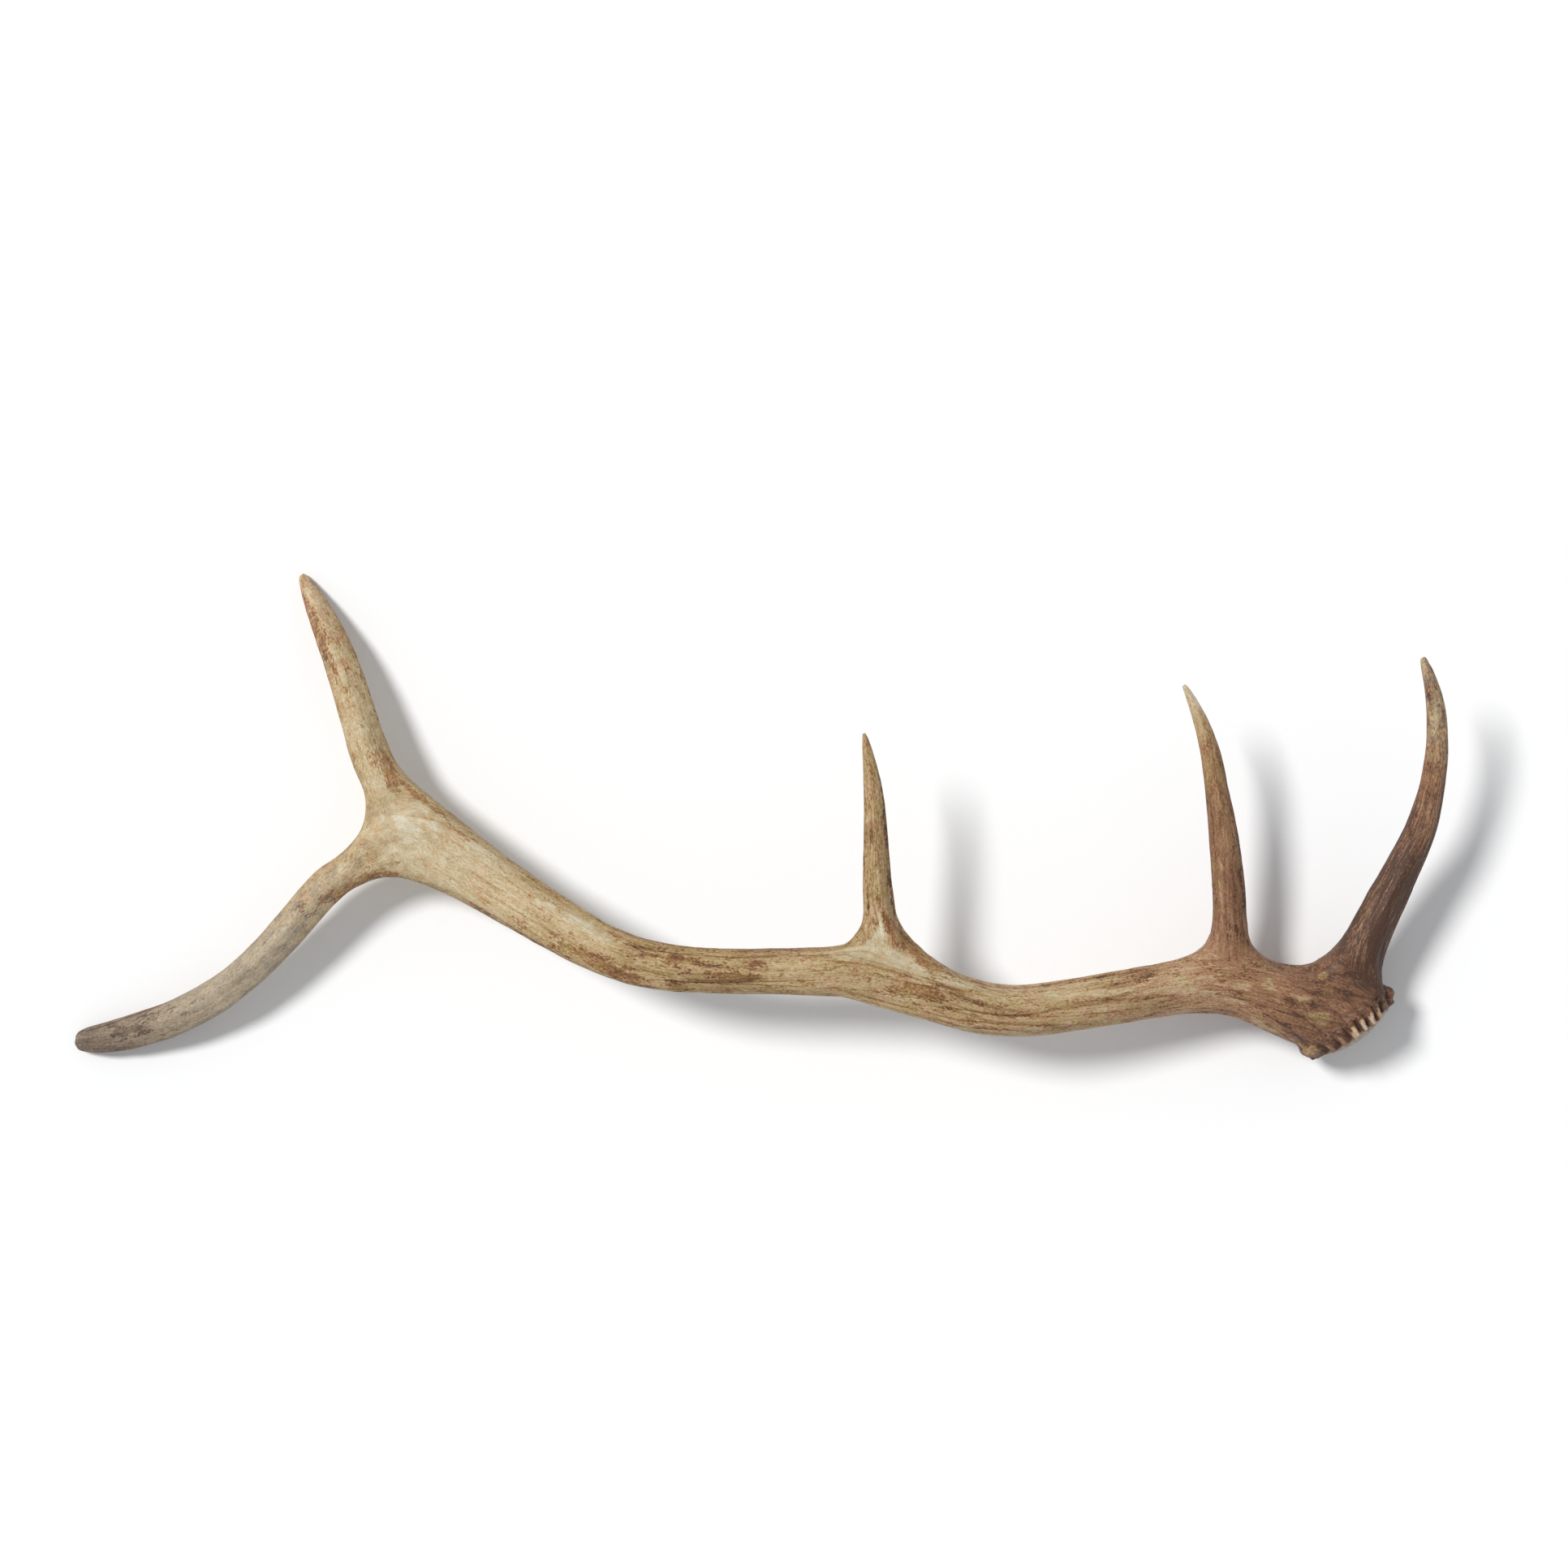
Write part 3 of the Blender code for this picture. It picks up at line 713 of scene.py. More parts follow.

# %% [markdown]
# ## The burr's crests
# The burr is the ring of knobs round the foot of the antler. On this one they are long crests: each
# rises slowly out of a ridge of the beam, is ivory, from wear and a painted highlight, or red-brown
# where it stands highest, and drops steeply to the shed face. Dark clefts lie between, with dirt and
# painted shade in them. The ten that the photograph shows are listed by their place round the rim,
# and the hidden ones below follow at uneven steps. Two dips take the rim down where it is notched and worn.

# %% Crests
# Each crest: degrees round the rim, half its width in degrees, its height in millimetres, how far
# out its top is and how much of its top is ivory, from wear and a painted highlight.
CRESTS = {
    "knob by the first tine": (13, 9, 3.4, 0.5, 0.0),
    "orange knob": (35, 10, 1.2, 1.5, 0.1),
    "broad ivory crest": (57, 7, 2.2, 3.5, 0.75),
    "long ivory crest": (70, 6.5, 3.6, 2.0, 1.0),
    "second long crest": (82, 6, 3.4, 2.0, 1.0),
    "narrow crest": (92, 5, 3.0, 2.5, 0.9),
    "bead before the rim": (99, 5, 2.2, 5.5, 0.8),
    "red crest": (112, 8, 2.8, 4.0, 0.3),
    "low crest": (127, 9, 2.4, 3.5, 0.1),
    "lobe": (163, 20, 4.8, -1.0, 0.0),
}
# On the hidden side: degrees round the rim and half the width; a wider one is also taller.
HIDDEN_CRESTS = ((189, 9), (204, 6), (215, 5), (228, 8), (243, 7), (255, 5), (267, 7), (282, 9), (297, 6),
                 (308, 5), (320, 7), (335, 8), (350, 6))
HIDDEN_SLOPE = 0.42     # how much height each degree of half width gives them
HIDDEN_TOP = 2.5        # and how far out their tops are
CREST_FRONT = 5.5       # how far a crest's steep end reaches towards the shed face
CREST_BEHIND = 10.0     # how far back along the beam it fades out
CLEFT_DEPTH = 2.2
# Dips in the rim: degrees round it, how far out, how wide in degrees, how long and how deep.
RIM_DIPS = {
    "notch behind the knob by the first tine": (8, -7.5, 14, 3.5, 4.0),
    "worn rim between the knobs": (36, 2.0, 16, 8.0, 3.2),
}
RAGGED_HEIGHT = 0.9

# %% Lift the crests
_, rim_width, rim_depth = BURR_RINGS[-1]
from_centre = spots - np.array(burr)
rim_aside = from_centre @ np.array(burr_side) / rim_width
rim_above = from_centre[:, 2] / rim_depth
rim_turn = np.arctan2(rim_above, rim_aside)
on_rim = ramp(forward, -16, -4) * ramp(forward, 12, 8)


def crest(place, half_width, top):
    """A crest of height 1, and how near each corner is to its middle line, from 0 to 1."""
    off = np.abs(np.degrees(np.angle(np.exp(1j * (rim_turn - math.radians(place))))))
    across = np.cos(np.clip(off / half_width, 0, 1) * math.pi / 2)
    ahead = forward - top
    along = np.clip(np.abs(ahead) / np.where(ahead > 0, CREST_FRONT, CREST_BEHIND), 0, 1)
    return across * np.where(ahead > 0, np.sqrt(1 - along ** 2), (1 - along ** 2) ** 1.5), across


crests, tops, worn, flanks = (np.zeros(len(spots)) for _ in range(4))
hidden = [(place, wide, HIDDEN_SLOPE * wide, HIDDEN_TOP, 0.0) for place, wide in HIDDEN_CRESTS]
for place, half_width, tall, top, wear_and_highlight in (*CRESTS.values(), *hidden):
    shape, across = crest(place + 3 * noise.noise(Vector((place, 0.5, 0.2))), half_width, top)
    crests = np.maximum(crests, tall * shape)
    tops = np.maximum(tops, shape)
    # worn: the ivory on the crest tops, from wear and a painted highlight.
    worn = np.maximum(worn, wear_and_highlight * ramp(shape, 0.7, 0.92))
    flanks = np.maximum(flanks, across)
clefts = on_rim * ramp(forward, -8, 1) * ramp(flanks, 0.5, 0.0)
ragged = on_rim * (lumps(5.5, 2.5) + 0.6 * lumps(2.6, 7.5))
print("crests cover", round(100 * float((tops > 0.3).sum() / (on_rim > 0.5).sum())), "% of the rim")

# %% [markdown]
# ## The shed face
# Under the burr is the face that the antler was shed from. It is a low dome, smoother than all the
# rest, with fine pits. The cage only closes it with a few faces, so its corners are set here by a
# formula: a paraboloid over the oval of the rim.

# %% Move the corners
PIT_DEPTH = 0.5
PIT_SIZE = 2.4

spread = np.hypot(rim_aside, rim_above)
under_burr = (forward > FACE_EDGE) & (spread < 1)
dome = FACE_EDGE + (FACE_REACH - FACE_EDGE) * (1 - spread ** 2)
out = np.array(burr_out)
inside_rim = ramp(spread, 1.04, 0.96)
on_face = ramp(forward, 2.0, 5.0) * inside_rim
carved = spots.copy()
carved[under_burr] += np.outer((dome - forward)[under_burr], out)

outwards = np.outer(np.cos(rim_turn), burr_side) + np.outer(np.sin(rim_turn), (0, 0, 1))
rim_lift = crests - CLEFT_DEPTH * clefts + RAGGED_HEIGHT * ragged
for place, ahead, wide, long, deep in RIM_DIPS.values():
    rim_lift -= deep * bell(np.degrees(rim_turn) - place, wide) * bell(forward - ahead, long)
carved += unit(outwards + normals) * rim_lift[:, None]
carved += normals * (relief * (1 - on_face))[:, None]
carved -= np.outer(PIT_DEPTH * on_face * ramp(lumps(PIT_SIZE, 6.5), 0.1, 0.6), out)
carved += TO_CENTRE
lowest, highest = np.array(solid_box) / METRES
carved = np.clip(carved, lowest, highest)
print("antler", *np.round(np.ptp(carved, axis=0), 1), "mm")

# %% The piece
skin.vertices.foreach_set("co", (carved * METRES).astype(np.float32).ravel())
skin.shade_smooth()
skin.update()
skin.name = "antler"
antler = placed("antler", skin)
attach(antler, "root")
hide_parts(*BRANCHES)
print(2 * len(skin.polygons), "triangles in one piece")

# %% [markdown]
# ## Where the stain is
# Sap, soil and blood stain an antler brown while its velvet is rubbed off, and more rubbing polishes
# it again. So the burr, the brow tine and the hollows are dark and the fork is ivory. The stain is
# one number at each corner: 0 is clean ivory, 1 the darkest brown. A few knots along each branch say
# how it changes, and the relief adds to it, because dirt stays in the channels. The same number also
# carries painted shade along the two edges and in the burr's clefts, and painted highlights on the crest
# tops.

# %% Stain along the branches
BEAM_STAIN = ((0, 0.82), (45, 0.74), (90, 0.64), (150, 0.5), (230, 0.4), (330, 0.37), (430, 0.46),
              (520, 0.44), (600, 0.27), (700, 0.26), (760, 0.36), (870, 0.4), (930, 0.56), (960, 0.76))
TINE_STAIN = {
    "brow": ((0, 0.97), (110, 0.95), (150, 0.8), (200, 0.51), (240, 0.5), (262, 0.36)),
    "bez": ((0, 0.57), (60, 0.72), (120, 0.68), (175, 0.47), (205, 0.2)),
    "trez": ((0, 0.35), (60, 0.46), (130, 0.5), (160, 0.44)),
    "royal": ((0, 0.28), (60, 0.35), (130, 0.37), (200, 0.39)),
}
# How much darker the two edges are than the middle, from brown stain and painted shade, and how thick the
# brown dashes lie there.
BEAM_EDGE_STAIN_AND_SHADE = ((0, 0.0), (330, 0.1), (430, 0.3), (600, 0.45), (760, 0.4), (840, 0.15), (960, 0.1))
TINE_EDGE_STAIN_AND_SHADE = (0.1, 0.1, 0.2, 0.25)


def knots(reaches, table):
    """A value for each reach, read between the knots of a table."""
    places, values = zip(*table)
    return np.interp(reaches, places, values)


def take_over(field, tine, values):
    """Give a tine values of its own, blended in where it grows out of the beam."""
    mine = own_tine == tine
    field[mine] += tine_share[mine] * (values[mine] - field[mine])


stain = knots(reach, BEAM_STAIN)
edge = np.cos(turn) ** 4
edges = knots(reach, BEAM_EDGE_STAIN_AND_SHADE) * edge
for tine, name in enumerate(TINES):
    take_over(stain, tine, knots(tine_reach, TINE_STAIN[name]))
    take_over(edges, tine, TINE_EDGE_STAIN_AND_SHADE[tine] * np.cos(tine_turn) ** 4)
# The two edges are darkened: brown stain and painted shade.
stain += 0.45 * edges
print("stain", span(stain))

# %% Dirt and painted shade in the hollows, wear and painted highlights on the heights
seat = ramp(forward, 5.5, 8.0) * inside_rim
stain += 0.25 * channels * sturdy - 0.08 * ramp(fine, 0.2, 0.7) + 0.1 * ramp(-fine, 0.2, 0.7)
stain += near_burr * (0.08 * ramp(-flutes, 0, 0.6) - 0.05 * ramp(flutes, 0.1, 0.6))
# The clefts between the crests are darkened: dirt and painted shade.
stain += (0.06 * on_rim + 0.24 * clefts) * (1 - seat)
# The crest tops are made paler: worn ivory and a painted highlight.
stain -= 0.8 * worn + 0.06 * ramp(tops, 0.6, 0.9)
stain += seat * (0.36 - stain)
stain += 0.1 * lumps(38, 5.5) + 0.05 * lumps(14, 1.5)
print("stain now", span(stain))

# %% [markdown]
# ## Patches that make it this antler
# Noise gives an antler, and a few dozen placed marks give this one: the pale hollow at the foot of
# the third tine, a smudge behind the burr, dark edges at the fork. Each is a soft oval laid on the
# upper side, and the finish tears its edge later. Its place and size are pixels of the photograph,
# seen from the camera above, because that is how they were found.

# %% Where the photograph sees each corner
PHOTO_MIDDLE = 966.0
PHOTO_PIXEL = PICTURE_WIDTH / (2 * PHOTO_MIDDLE)

closeness = PHOTO_PIXEL * (1 - carved[:, 2] / CAMERA_PLACE[2])
seen_x = PHOTO_MIDDLE + (carved[:, 0] - CAMERA_PLACE[0]) / closeness
seen_y = PHOTO_MIDDLE - (carved[:, 1] - CAMERA_PLACE[1]) / closeness
on_top = ramp(normals[:, 2], -0.1, 0.25)
print("pixels across:", span(seen_x))

# %% Patches
# Each patch: its middle (x, y), half length, half width, degrees that it leans down to the right,
# and how strong it is: brown above 0, pale below.
# Some patches are painted light: painted shade down the right sides of the first three tines, and painted
# highlights down their left sides.
PATCHES = {
    "upper corner of the hollow": (1084, 1142, 9, 18, 0, -0.7),
    "painted highlight on the left of the third tine": (1068, 1040, 7, 80, -2, -0.5),
    # The web beside the hollow is darkened as painted shade.
    "painted shade on the web beside the hollow": (1126, 1166, 56, 15, 42, 1.3),
    "brown left of the hollow": (1048, 1160, 24, 6, -20, 0.6),
    "painted shade on the right of the third tine": (1096, 1040, 8, 100, -3, 0.9),
    "smudge behind the burr": (1589, 1232, 11, 4, 22, 1.1),
    "streak behind the burr": (1617, 1236, 4, 10, 14, 0.8),
    "dark corner at the first tine": (1622, 1210, 9, 5, 30, 0.9),
    "black streaks over the burr": (1656, 1212, 6, 16, -32, 0.9),
    "dark foot of the first tine": (1700, 1150, 16, 60, 8, 1.1),
    "painted shade on the right of the first tine": (1722, 1088, 8, 60, 24, 0.9),
    "painted highlight up the first tine": (1692, 1110, 4, 40, 22, -0.7),
    "yellow blotch by the first tine": (1631, 1203, 7, 6, 0, -1.6),
    "yellow blotch before the burr": (1628, 1255, 20, 9, 12, -1.3),
    "yellow blotch on the beam's foot": (1602, 1230, 16, 9, 20, -0.9),
    "tan blotch on the beam": (1562, 1212, 12, 8, 20, -1.1),
    "tan streaks behind the burr": (1530, 1215, 50, 8, 14, -0.6),
    "tan lobe": (1617, 1294, 15, 8, -20, -1.1),
    "tan edge before the lobe": (1570, 1269, 38, 6, 32, -1.0),
    "brown crotch between the tines": (1580, 1190, 60, 8, 8, 0.5),
    "brown web of the first tine": (1660, 1145, 8, 40, 32, 0.8),
    "brown foot of the second tine": (1520, 1150, 34, 16, 60, 0.4),
    "painted highlight up the second tine": (1505, 1090, 6, 60, 0, -0.7),
    "painted shade on the right of the second tine": (1526, 1060, 6, 90, -6, 0.5),
    "brown dashes over the ridge": (1400, 1203, 110, 9, -5, 0.5),
    "brown above the long lines": (1130, 1222, 48, 13, 10, 0.9),
    "brown before the bend": (1205, 1232, 40, 12, 8, 0.4),
    "spot before the bend": (935, 1187, 8, 4, 10, 1.5),
    "dashes along the top of the bend": (830, 1182, 60, 7, 8, 1.0),
    "dashes under the bend": (905, 1202, 60, 5, 4, 1.0),
    "brown foot of the bend": (745, 1190, 90, 10, 26, 1.1),
    "dark patch under the bend": (836, 1216, 18, 6, 4, 1.2),
    "pale middle of the bend": (720, 1140, 70, 12, 30, -0.8),
    "clean ivory of the fork": (505, 1015, 46, 34, 30, -0.7),
    "brown edge of the fork": (575, 1003, 110, 8, 39, 1.5),
    "brown line over the fork": (520, 985, 70, 4, 40, 1.1),
    "brown under the fork": (560, 1115, 100, 8, 24, 1.5),
    "brown beside the fork": (478, 950, 9, 40, -22, 1.2),
    "brown under the beam's end": (430, 1092, 60, 8, -28, 1.1),
    "brown left edge of the fourth tine": (390, 775, 8, 62, -22, 1.3),
    "brown right edge of the fourth tine": (455, 850, 5, 80, -18, 0.7),
    "dark patch at the beam's end": (158, 1270, 26, 8, -12, 1.3),
    "red edge at the beam's end": (190, 1250, 24, 6, -14, 0.9),
    "dark patch on the first tine": (1735, 1012, 11, 20, 25, 0.9),
    "cracks at the first tine's tip": (1764, 855, 5, 8, 30, 1.2),
    "pale top of the first tine": (1766, 898, 6, 28, 2, -1.1),
}
print(len(PATCHES), "patches")


# %% Lay the patches
def patch(x, y, long, wide, lean):
    """1 in the middle of a soft oval on the upper side, 0 outside it."""
    right, down = seen_x - x, seen_y - y
    cos, sin = math.cos(math.radians(lean)), math.sin(math.radians(lean))
    distance = ((right * cos + down * sin) / long) ** 2 + ((down * cos - right * sin) / wide) ** 2
    return on_top * np.exp(-distance)


# brown and pale also hold painted shade and painted highlights on the sides of the tines.
brown, pale = np.zeros(len(seen_x)), np.zeros(len(seen_x))
for *place, strength in PATCHES.values():
    kind = brown if strength > 0 else pale
    np.maximum(kind, abs(strength) * patch(*place), out=kind)
print("patches cover", int((np.maximum(brown, pale) > 0.3).sum()), "corners")

# %% [markdown]
# ## Creases, scratches and cracks
# Thin lines are too fine for the corners of the mesh, which stand up to 5 mm apart along the bone.
# The distance to a line isn't: it changes evenly from corner to corner. So the mesh keeps the
# distance to the nearest line, in half widths of that line, and the finish draws the line where that
# number is small. It stays sharp however coarse the mesh is.

# %% Lines
# Each line: its half width in pixels, then its points, in pixels of the photograph.
LINES = {
    "crease under the third tine":
        (1.6, (1020, 1184), (1072, 1189), (1098, 1197), (1150, 1213), (1215, 1227)),
    "fleck on the beam": (2.2, (1474, 1223), (1476, 1223)),
    "pit on the fourth tine": (2.4, (436, 869), (437, 871)),
    "first long line": (1.0, (1040, 1221), (1110, 1240), (1180, 1257), (1260, 1264), (1345, 1262)),
    "second long line": (1.0, (1062, 1232), (1120, 1248), (1190, 1266), (1270, 1271)),
    "third long line": (0.9, (1160, 1240), (1230, 1251), (1310, 1253), (1380, 1246)),
    "line under the bend": (1.0, (800, 1207), (860, 1211), (930, 1210), (1000, 1208)),
    "line over the bend": (1.0, (770, 1163), (830, 1175), (900, 1180), (960, 1178)),
    "first scratch behind the burr": (1.1, (1560, 1232), (1578, 1239), (1606, 1254), (1634, 1277)),
    "second scratch behind the burr": (1.1, (1604, 1218), (1624, 1229), (1645, 1246), (1661, 1263)),
    "groove by the lobe": (1.3, (1560, 1250), (1590, 1268), (1612, 1290)),
    "second groove by the lobe": (1.2, (1548, 1254), (1578, 1272), (1604, 1293)),
    "crack in the fourth tine": (0.9, (414, 827), (421, 823), (431, 823), (440, 831)),
    "crack in the third tine": (0.8, (1064, 966), (1070, 964), (1074, 968)),
    "crack in the first tine": (0.9, (1754, 850), (1759, 853), (1763, 858), (1768, 862)),
    "line on the first tine": (1.0, (1702, 1190), (1706, 1150), (1716, 1105), (1732, 1066)),
    "second line on the first tine": (1.0, (1684, 1196), (1688, 1150), (1700, 1105), (1718, 1062)),
}
# A painted highlight along a crest of the beam, and the outline of the pale hollow under the third tine.
PAINTED_HIGHLIGHT_LINE = ((1290, 1226), (1340, 1223), (1400, 1222), (1475, 1222), (1505, 1228), (1532, 1237))
HOLLOW = [(1002, 1172), (1040, 1168), (1064, 1164), (1076, 1150), (1084, 1134), (1092, 1138),
          (1094, 1165), (1111, 1176), (1133, 1188), (1160, 1199), (1200, 1212), (1232, 1224),
          (1176, 1216), (1125, 1203), (1098, 1194), (1072, 1186), (1040, 1184)]
print(len(LINES), "lines")

# %% How far off the lines
FAR = 9.0    # half widths beyond which a line is forgotten


def off_line(points):
    """How far each corner is from a line of points, in pixels of the photograph."""
    nearest = np.full(len(seen_x), np.inf)
    for (ax, ay), (bx, by) in zip(points, points[1:]):
        run_x, run_y = bx - ax, by - ay
        along = np.clip(((seen_x - ax) * run_x + (seen_y - ay) * run_y) / (run_x ** 2 + run_y ** 2), 0, 1)
        nearest = np.minimum(nearest, np.hypot(seen_x - ax - along * run_x, seen_y - ay - along * run_y))
    return nearest


off_lines = np.full(len(seen_x), FAR)
for half_width, *points in LINES.values():
    off_lines = np.minimum(off_lines, off_line(points) / half_width)
off_lines += FAR * (1 - on_top) + 0.5 * lumps(9, 17.5)
# How far each corner is from the line of the painted highlight along the beam.
off_crest = off_line(PAINTED_HIGHLIGHT_LINE) + FAR * (1 - on_top)


def inside(points):
    """How deep each corner lies inside an outline, in pixels; less than 0 is outside."""
    crossed = np.zeros(len(seen_x), bool)
    for (ax, ay), (bx, by) in zip(points, points[1:] + points[:1]):
        if ay != by:
            spans = (ay > seen_y) != (by > seen_y)
            crossed ^= spans & (seen_x < ax + (seen_y - ay) * (bx - ax) / (by - ay))
    return off_line(points + points[:1]) * np.where(crossed, 1, -1)


in_hollow = np.where(on_top > 0.5, np.maximum(inside(HOLLOW), -FAR), -FAR)
print("the hollow covers", int((in_hollow > 0).sum()), "corners")

# %% [markdown]
# ## Dashes, clouds and grey
# A few more numbers say what character the bone has at each place. The dashes are short brown
# scratches, thick along the beam and few at the fork. Mottled bone is cloudy instead of fibrous, and
# lively bone shows its grain strongly. Greyness grows towards the weathered end of the beam, and
# redness is strongest near the burr.

# %% How thick the dashes lie, and what is grey
BEAM_DASHES = ((0, 0.2), (120, 0.9), (520, 1.0), (640, 0.55), (700, 0.35), (800, 0.6), (960, 0.8))
BEAM_REDNESS = ((0, 0.95), (110, 0.8), (200, 0.38), (400, 0.15), (700, 0.2), (860, 0.45), (960, 0.6))
BEAM_GREYNESS = ((740, 0.0), (820, 0.72), (960, 0.8))
# Each tine: how red it is at its root and its tip, 0 being yellow, how thick the dashes lie at both,
# and between which places along it that changes.
TINE_TURNS = (
    ((0.95, 0.45), (0.3, 1.1), (140, 230)),
    ((0.8, 0.35), (0.3, 0.8), (90, 200)),
    ((0.25, 0.25), (0.8, 0.7), (90, 200)),
    ((0.2, 0.55), (0.6, 0.6), (90, 200)),
)
# Placed like the patches: where there are few dashes, and where the fourth tine is striped across.
HOLLOW_PLACE = (1097, 1172, 60, 26, 8)
SMOOTH_PLACES = (HOLLOW_PLACE, (500, 1010, 60, 48, 30), (1206, 1237, 16, 7, 20))
STRIPED_PLACE = (388, 775, 16, 70, -20)
BROW, BEZ = 0, 1    # the first two tines


def up_tine(tine, start, end):
    """Goes from 0 to 1 along one tine, or back, and is 0 on all the rest."""
    return tine_share * (own_tine == tine) * ramp(tine_reach, start, end)


dashes = np.clip(0.75 + 0.5 * lumps(45, 3.5) + edges, 0, 1.3) * knots(reach, BEAM_DASHES)
for place in SMOOTH_PLACES:
    dashes *= 1 - 0.8 * patch(*place)
redness = knots(reach, BEAM_REDNESS)
for tine, (reds, thicks, between) in enumerate(TINE_TURNS):
    for field, (at_root, at_tip) in ((redness, reds), (dashes, thicks)):
        take_over(field, tine, at_root + (at_tip - at_root) * ramp(tine_reach, *between))
mottled = np.maximum(smooth_fork, ramp(reach, 560, 680) * ramp(reach, 960, 820) * 0.6) * (1 - 0.3 * edge)
mottled = np.maximum(mottled, patch(*HOLLOW_PLACE))
mottled = np.maximum(mottled, 0.9 * up_tine(BROW, 120, 200))
greyness = np.maximum(seat * 0.9, knots(reach, BEAM_GREYNESS) * (1 - tine_share))
greyness += 0.3 * up_tine(BROW, 170, 220)
lively = np.clip(0.84 - 0.25 * greyness - 0.17 * tine_share * (own_tine == BEZ), 0.5, 1)
print("dashes", span(dashes))

# %% Keep the fields with the piece
def keep(name, values):
    """Store one number, or three, for each corner of the skin."""
    kind, slot = ("FLOAT", "value") if values.ndim == 1 else ("FLOAT_VECTOR", "vector")
    attribute = skin.attributes.new(name, kind, "POINT")
    attribute.data.foreach_set(slot, values.astype(np.float32).ravel())


keep("beam_grain", on_beam[:3].T)
keep("tine_grain", (on_tine[:3] + TINE_APART * (own_tine + 1)).T)
keep("tine_share", tine_share)
keep("stain", stain)
keep("dashes", dashes)
keep("off_lines", off_lines)
keep("fluted", near_burr)
keep("streaked", up_tine(BROW, 240, 110))
keep("striped", patch(*STRIPED_PLACE))
keep("mottled", mottled)
keep("lively", lively)
keep("redness", redness)
keep("brown", brown)
keep("pale", pale)
keep("in_hollow", in_hollow)
keep("off_crest", off_crest)
keep("greyness", greyness)
keep("gloss", np.maximum(near_burr, on_rim))
print("fields:", *[attribute.name for attribute in skin.attributes if not attribute.name.startswith(".")])

# %% [markdown]
# ## Bone as a finish
# The finish reads those numbers and adds what is too fine for the mesh: fibres a millimetre wide,
# dashes and specks. Written as sums it stays readable, so a small class wraps a socket and turns
# +, - and * into Math nodes. One method makes every other node.

# %% A socket that can be used in sums
class Wire:
    """A socket of a node graph. Sums on it add Math nodes."""

    def __init__(self, graph, socket):
        self.graph = graph
        self.socket = socket

    def math(self, operation, *others):
        return self.graph.node("ShaderNodeMath", {"operation": operation}, *others)

    def __add__(self, other):
        return self.math("ADD", self, other)

    def __sub__(self, other):
        return self.math("SUBTRACT", self, other)

    def __mul__(self, other):
        return self.math("MULTIPLY", self, other)

    def __rsub__(self, other):
        return self.math("SUBTRACT", other, self)

    __radd__ = __add__
    __rmul__ = __mul__

    def ramp(self, low, high):
        """0 at low, 1 at high, smooth between and level beyond."""
        settings = {"interpolation_type": "SMOOTHSTEP"}
        return self.graph.node("ShaderNodeMapRange", settings, self, low, high, 0.0, 1.0)


# %% A finish, and colours read off a screen
VECTOR, NUMBER = 1, 2      # which output of an Attribute node is read


class Finish:
    """A material that is written as expressions."""

    def __init__(self, name):
        self.material = bpy.data.materials.new(name)
        self.material.use_nodes = True
        self.tree = self.material.node_tree
        self.shader = self.tree.nodes["Principled BSDF"]

    def node(self, kind, settings, *inputs, out=0, **named):
        """Add a node, set it, then fill its sockets in order or by name."""
        node = self.tree.nodes.new(kind)
        for name, value in settings.items():
            if name == "stops":
                self.set_stops(node.color_ramp.elements, value)
            else:
                setattr(node, name, value)
        sockets = [socket for socket in node.inputs if socket.enabled]
        pairs = list(zip(sockets, inputs)) + [(node.inputs[name], value) for name, value in named.items()]
        for socket, value in pairs:
            if isinstance(value, Wire):
                self.tree.links.new(value.socket, socket)
            else:
                socket.default_value = value
        outputs = [socket for socket in node.outputs if socket.enabled]
        return Wire(self, outputs[out])

    def set_stops(self, elements, hues):
        """Lay the colours of a ramp, from the cleanest bone to the darkest."""
        for _ in hues[2:]:
            elements.new(1.0)
        for element, place, hue in zip(elements, STOPS, hues):
            element.position = place
            element.color = paint(*hue)

    def field(self, name, out=NUMBER):
        return self.node("ShaderNodeAttribute", {"attribute_name": name}, out=out)

    def noise(self, vector, scale, detail, roughness):
        """Noise around 0, at most about a half either way."""
        inputs = {"Vector": vector, "Scale": scale, "Detail": detail, "Roughness": roughness}
        return self.node("ShaderNodeTexNoise", {"noise_dimensions": "3D"}, **inputs) - 0.5

    def mix(self, share, first, second):
        return self.node("ShaderNodeMix", {"data_type": "RGBA"}, share, first, second)

    def colours(self, value, hues):
        return self.node("ShaderNodeValToRGB", {"stops": hues}, value)


def paint(*screen_colour):
    """A colour as it is read off a screen, from 0 to 255, as Blender wants it."""
    shares = [value / 255 for value in screen_colour]
    return (*[((share + 0.055) / 1.055) ** 2.4 for share in shares], 1.0)


# %% Fibres, dashes and specks
bone = Finish("grown_bone")
grains = [bone.field(name, VECTOR) for name in ("beam_grain", "tine_grain")]
tine_part = bone.field("tine_share")
flute = bone.field("fluted")
mottle = bone.field("mottled")


def fibres(length, width, detail, roughness):
    """Noise along both grains, blended where a tine begins."""
    scales = (1 / length, 1 / width, 1 / width)
    drawn_out = [bone.node("ShaderNodeVectorMath", {"operation": "MULTIPLY"}, way, scales) for way in grains]
    along_beam, along_tine = (bone.noise(way, 1.0, detail, roughness) for way in drawn_out)
    return along_beam + tine_part * (along_tine - along_beam)


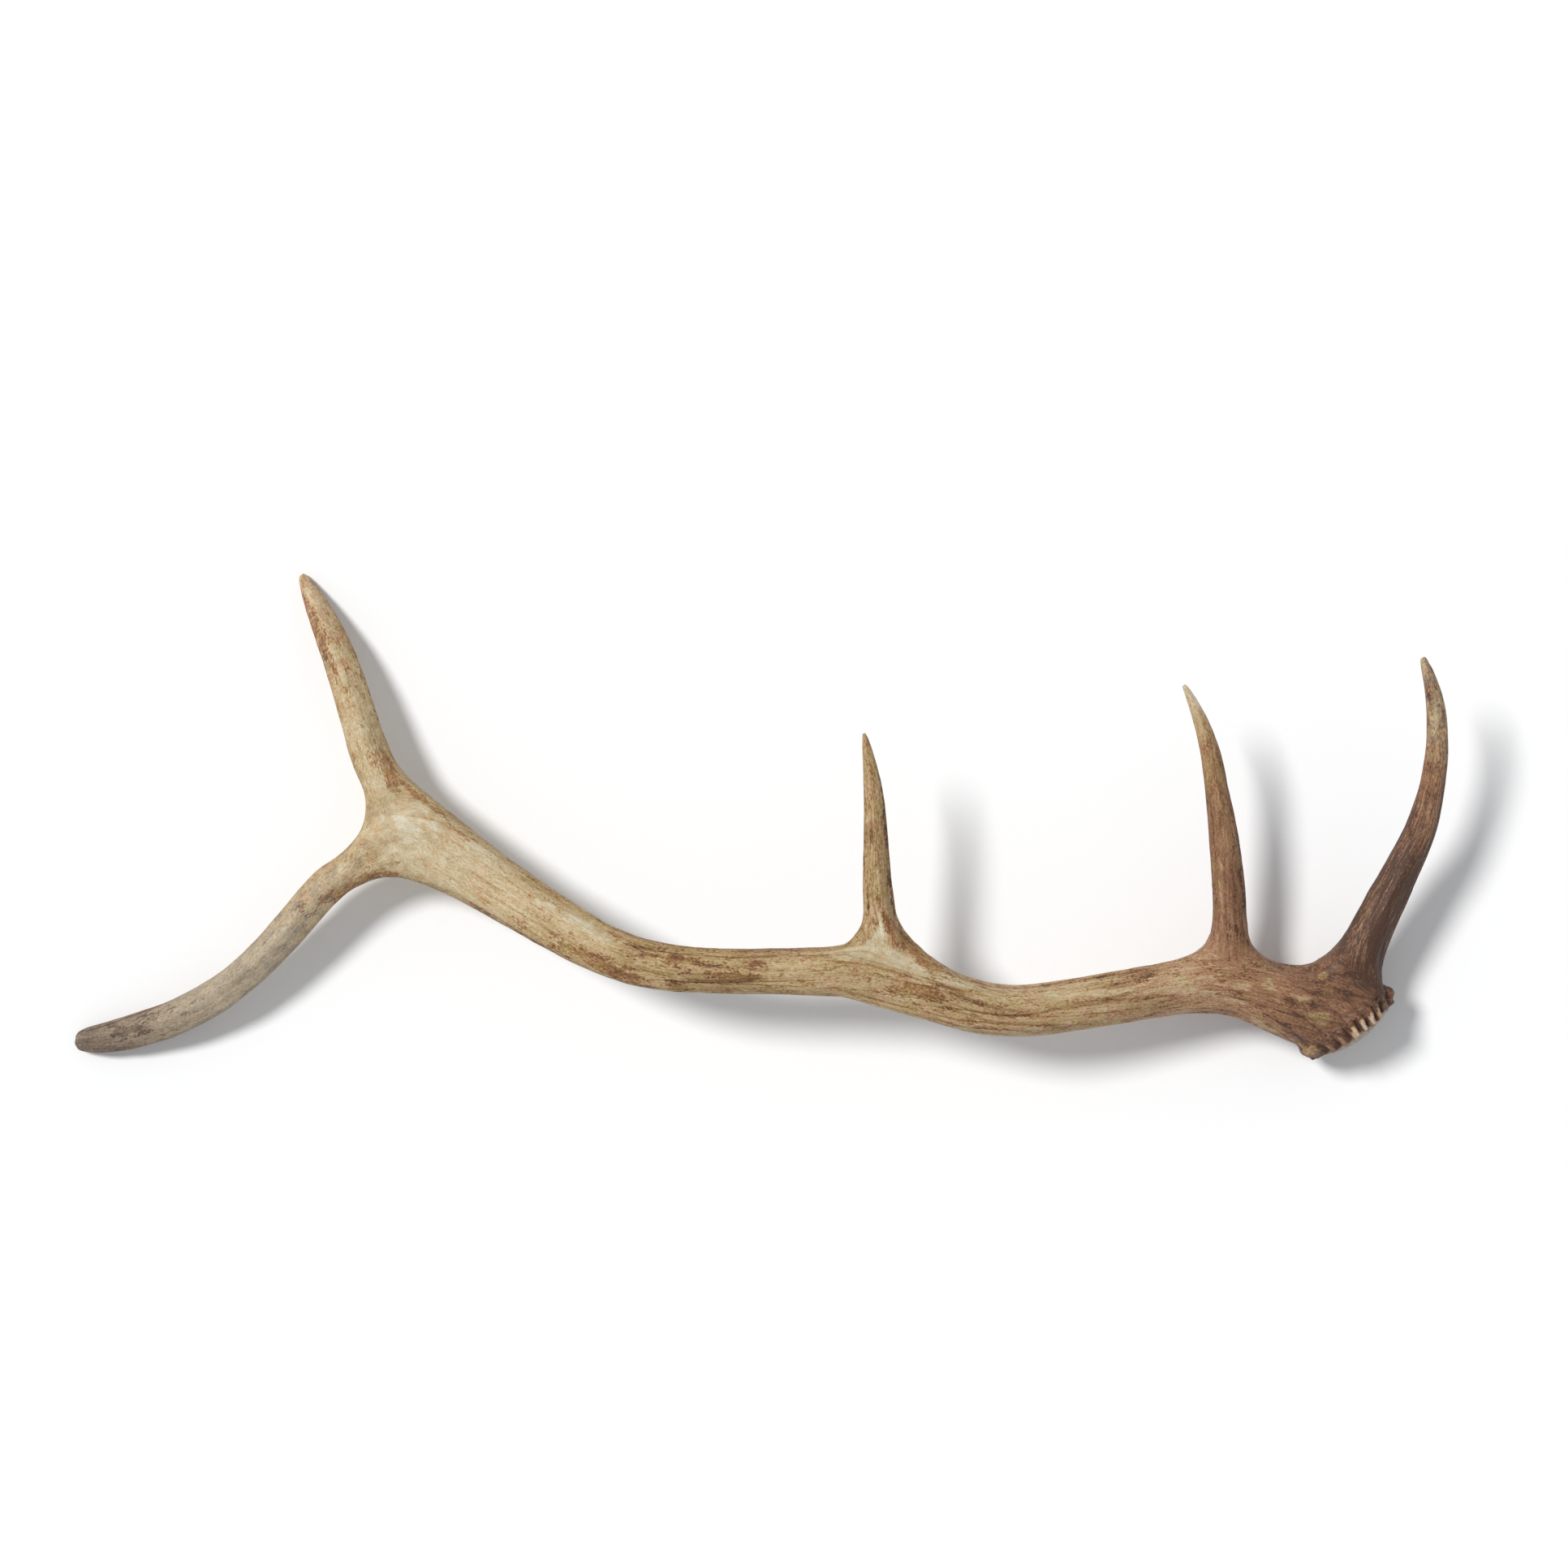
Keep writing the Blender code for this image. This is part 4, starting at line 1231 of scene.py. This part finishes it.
# Fields of fibres, each by its length and width in millimetres, its detail and its roughness.
grain = fibres(2.1, 1.05, 4.0, 0.65)
fibre = fibres(14, 1.2, 3.0, 0.6)
bands = fibres(30, 3.4, 3.0, 0.6)
streaks = fibres(26, 0.9, 2.0, 0.5)
stripes = fibres(1.5, 9.0, 2.0, 0.5)
torn = fibres(12, 4.4, 4.0, 0.65) + 0.55 * grain
other_torn = fibres(9, 5.5, 4.0, 0.6) + 0.3 * grain
blotches = bone.noise(grains[0], 0.13, 4.0, 0.6)
hue = bone.noise(grains[0], 0.11, 5.0, 0.65)
# Marks with torn edges, and thin lines.
dash = torn.ramp(-0.01, 0.13) * bone.field("dashes")
brown_mark = (bone.field("brown") + 3.0 * torn).ramp(0.4, 0.75)
pale_mark = (bone.field("pale") + 2.5 * other_torn).ramp(0.4, 0.9)
pale_hollow = (bone.field("in_hollow") + 8.0 * other_torn).ramp(-1.0, 2.5)
# The painted highlight: a pale line along the crest of the beam.
painted_highlight = bone.field("off_crest").ramp(6.0, 1.5)
thin_line = bone.field("off_lines").ramp(1.5, 0.4)

# %% [markdown]
# ## Three sorts of bone
# Stained bone isn't one colour that gets darker: it is red-brown near the burr, yellow along the beam
# and grey at the weathered end. So three ramps run from clean bone to the darkest stain, and the
# fields above mix them. Every mark first adds to one number, the depth of the stain, so all of them
# keep to the same colours.

# %% Colours
STOPS = (0.0, 0.15, 0.3, 0.45, 0.58, 0.72, 0.87, 1.0)    # how stained the bone is at each colour
RED_BONE = ((216, 202, 180), (205, 184, 156), (194, 164, 133), (180, 143, 111),
            (159, 120, 91), (138, 99, 74), (112, 79, 59), (80, 57, 46))
YELLOW_BONE = ((211, 203, 180), (201, 187, 155), (189, 169, 130), (174, 149, 105),
               (154, 126, 83), (133, 104, 65), (107, 82, 50), (79, 60, 42))
GREY_BONE = ((208, 201, 185), (195, 185, 165), (178, 165, 144), (160, 146, 126),
             (143, 128, 110), (122, 107, 92), (100, 86, 74), (76, 65, 57))

local = bone.field("lively") * (grain + (0.7 - 0.35 * flute) * fibre * (1 - 0.7 * mottle))
local = local + 1.1 * bone.field("streaked") * streaks + 0.8 * bone.field("striped") * stripes
local = local + (0.3 - 0.2 * flute) * bands * (1 - mottle) + 0.8 * blotches * mottle
local = local + 0.17 * dash + 0.18 * thin_line + (0.2 - 0.08 * flute) * brown_mark
local = local - 0.2 * pale_mark - 0.2 * pale_hollow - 0.15 * painted_highlight
depth_of_stain = bone.field("stain") + local
yellow, red, grey = (bone.colours(depth_of_stain, hues) for hues in (YELLOW_BONE, RED_BONE, GREY_BONE))
redder = bone.field("redness") + (2.6 - 1.2 * flute) * hue + 1.3 * local - 0.7 * flute * pale_mark
greyer = bone.field("greyness") + (0.12 + 2.4 * blotches) * mottle
colour = bone.mix(redder.ramp(0.0, 1.0), yellow, red)
colour = bone.mix(greyer.ramp(0.0, 1.0), colour, grey)
strength = 1.0 + 0.35 * local + 0.6 * mottle * hue
colour = bone.node("ShaderNodeHueSaturation", {}, Saturation=strength, Color=colour)

# %% Bump, gloss and the shader
BUMP_METRES = 0.0007
height = 0.6 * grain + 0.5 * fibre - 0.2 * dash - 0.3 * thin_line
bump = bone.node("ShaderNodeBump", {}, Strength=0.7, Distance=BUMP_METRES, Height=height)
roughness = 0.6 - 0.08 * bone.field("gloss") + 0.3 * grain
bone.shader.inputs["Specular IOR Level"].default_value = 0.3
for name, wire in (("Base Color", colour), ("Roughness", roughness), ("Normal", bump)):
    bone.tree.links.new(wire.socket, bone.shader.inputs[name])
skin.materials.clear()
skin.materials.append(bone.material)
print(len(bone.tree.nodes), "nodes in the finish")
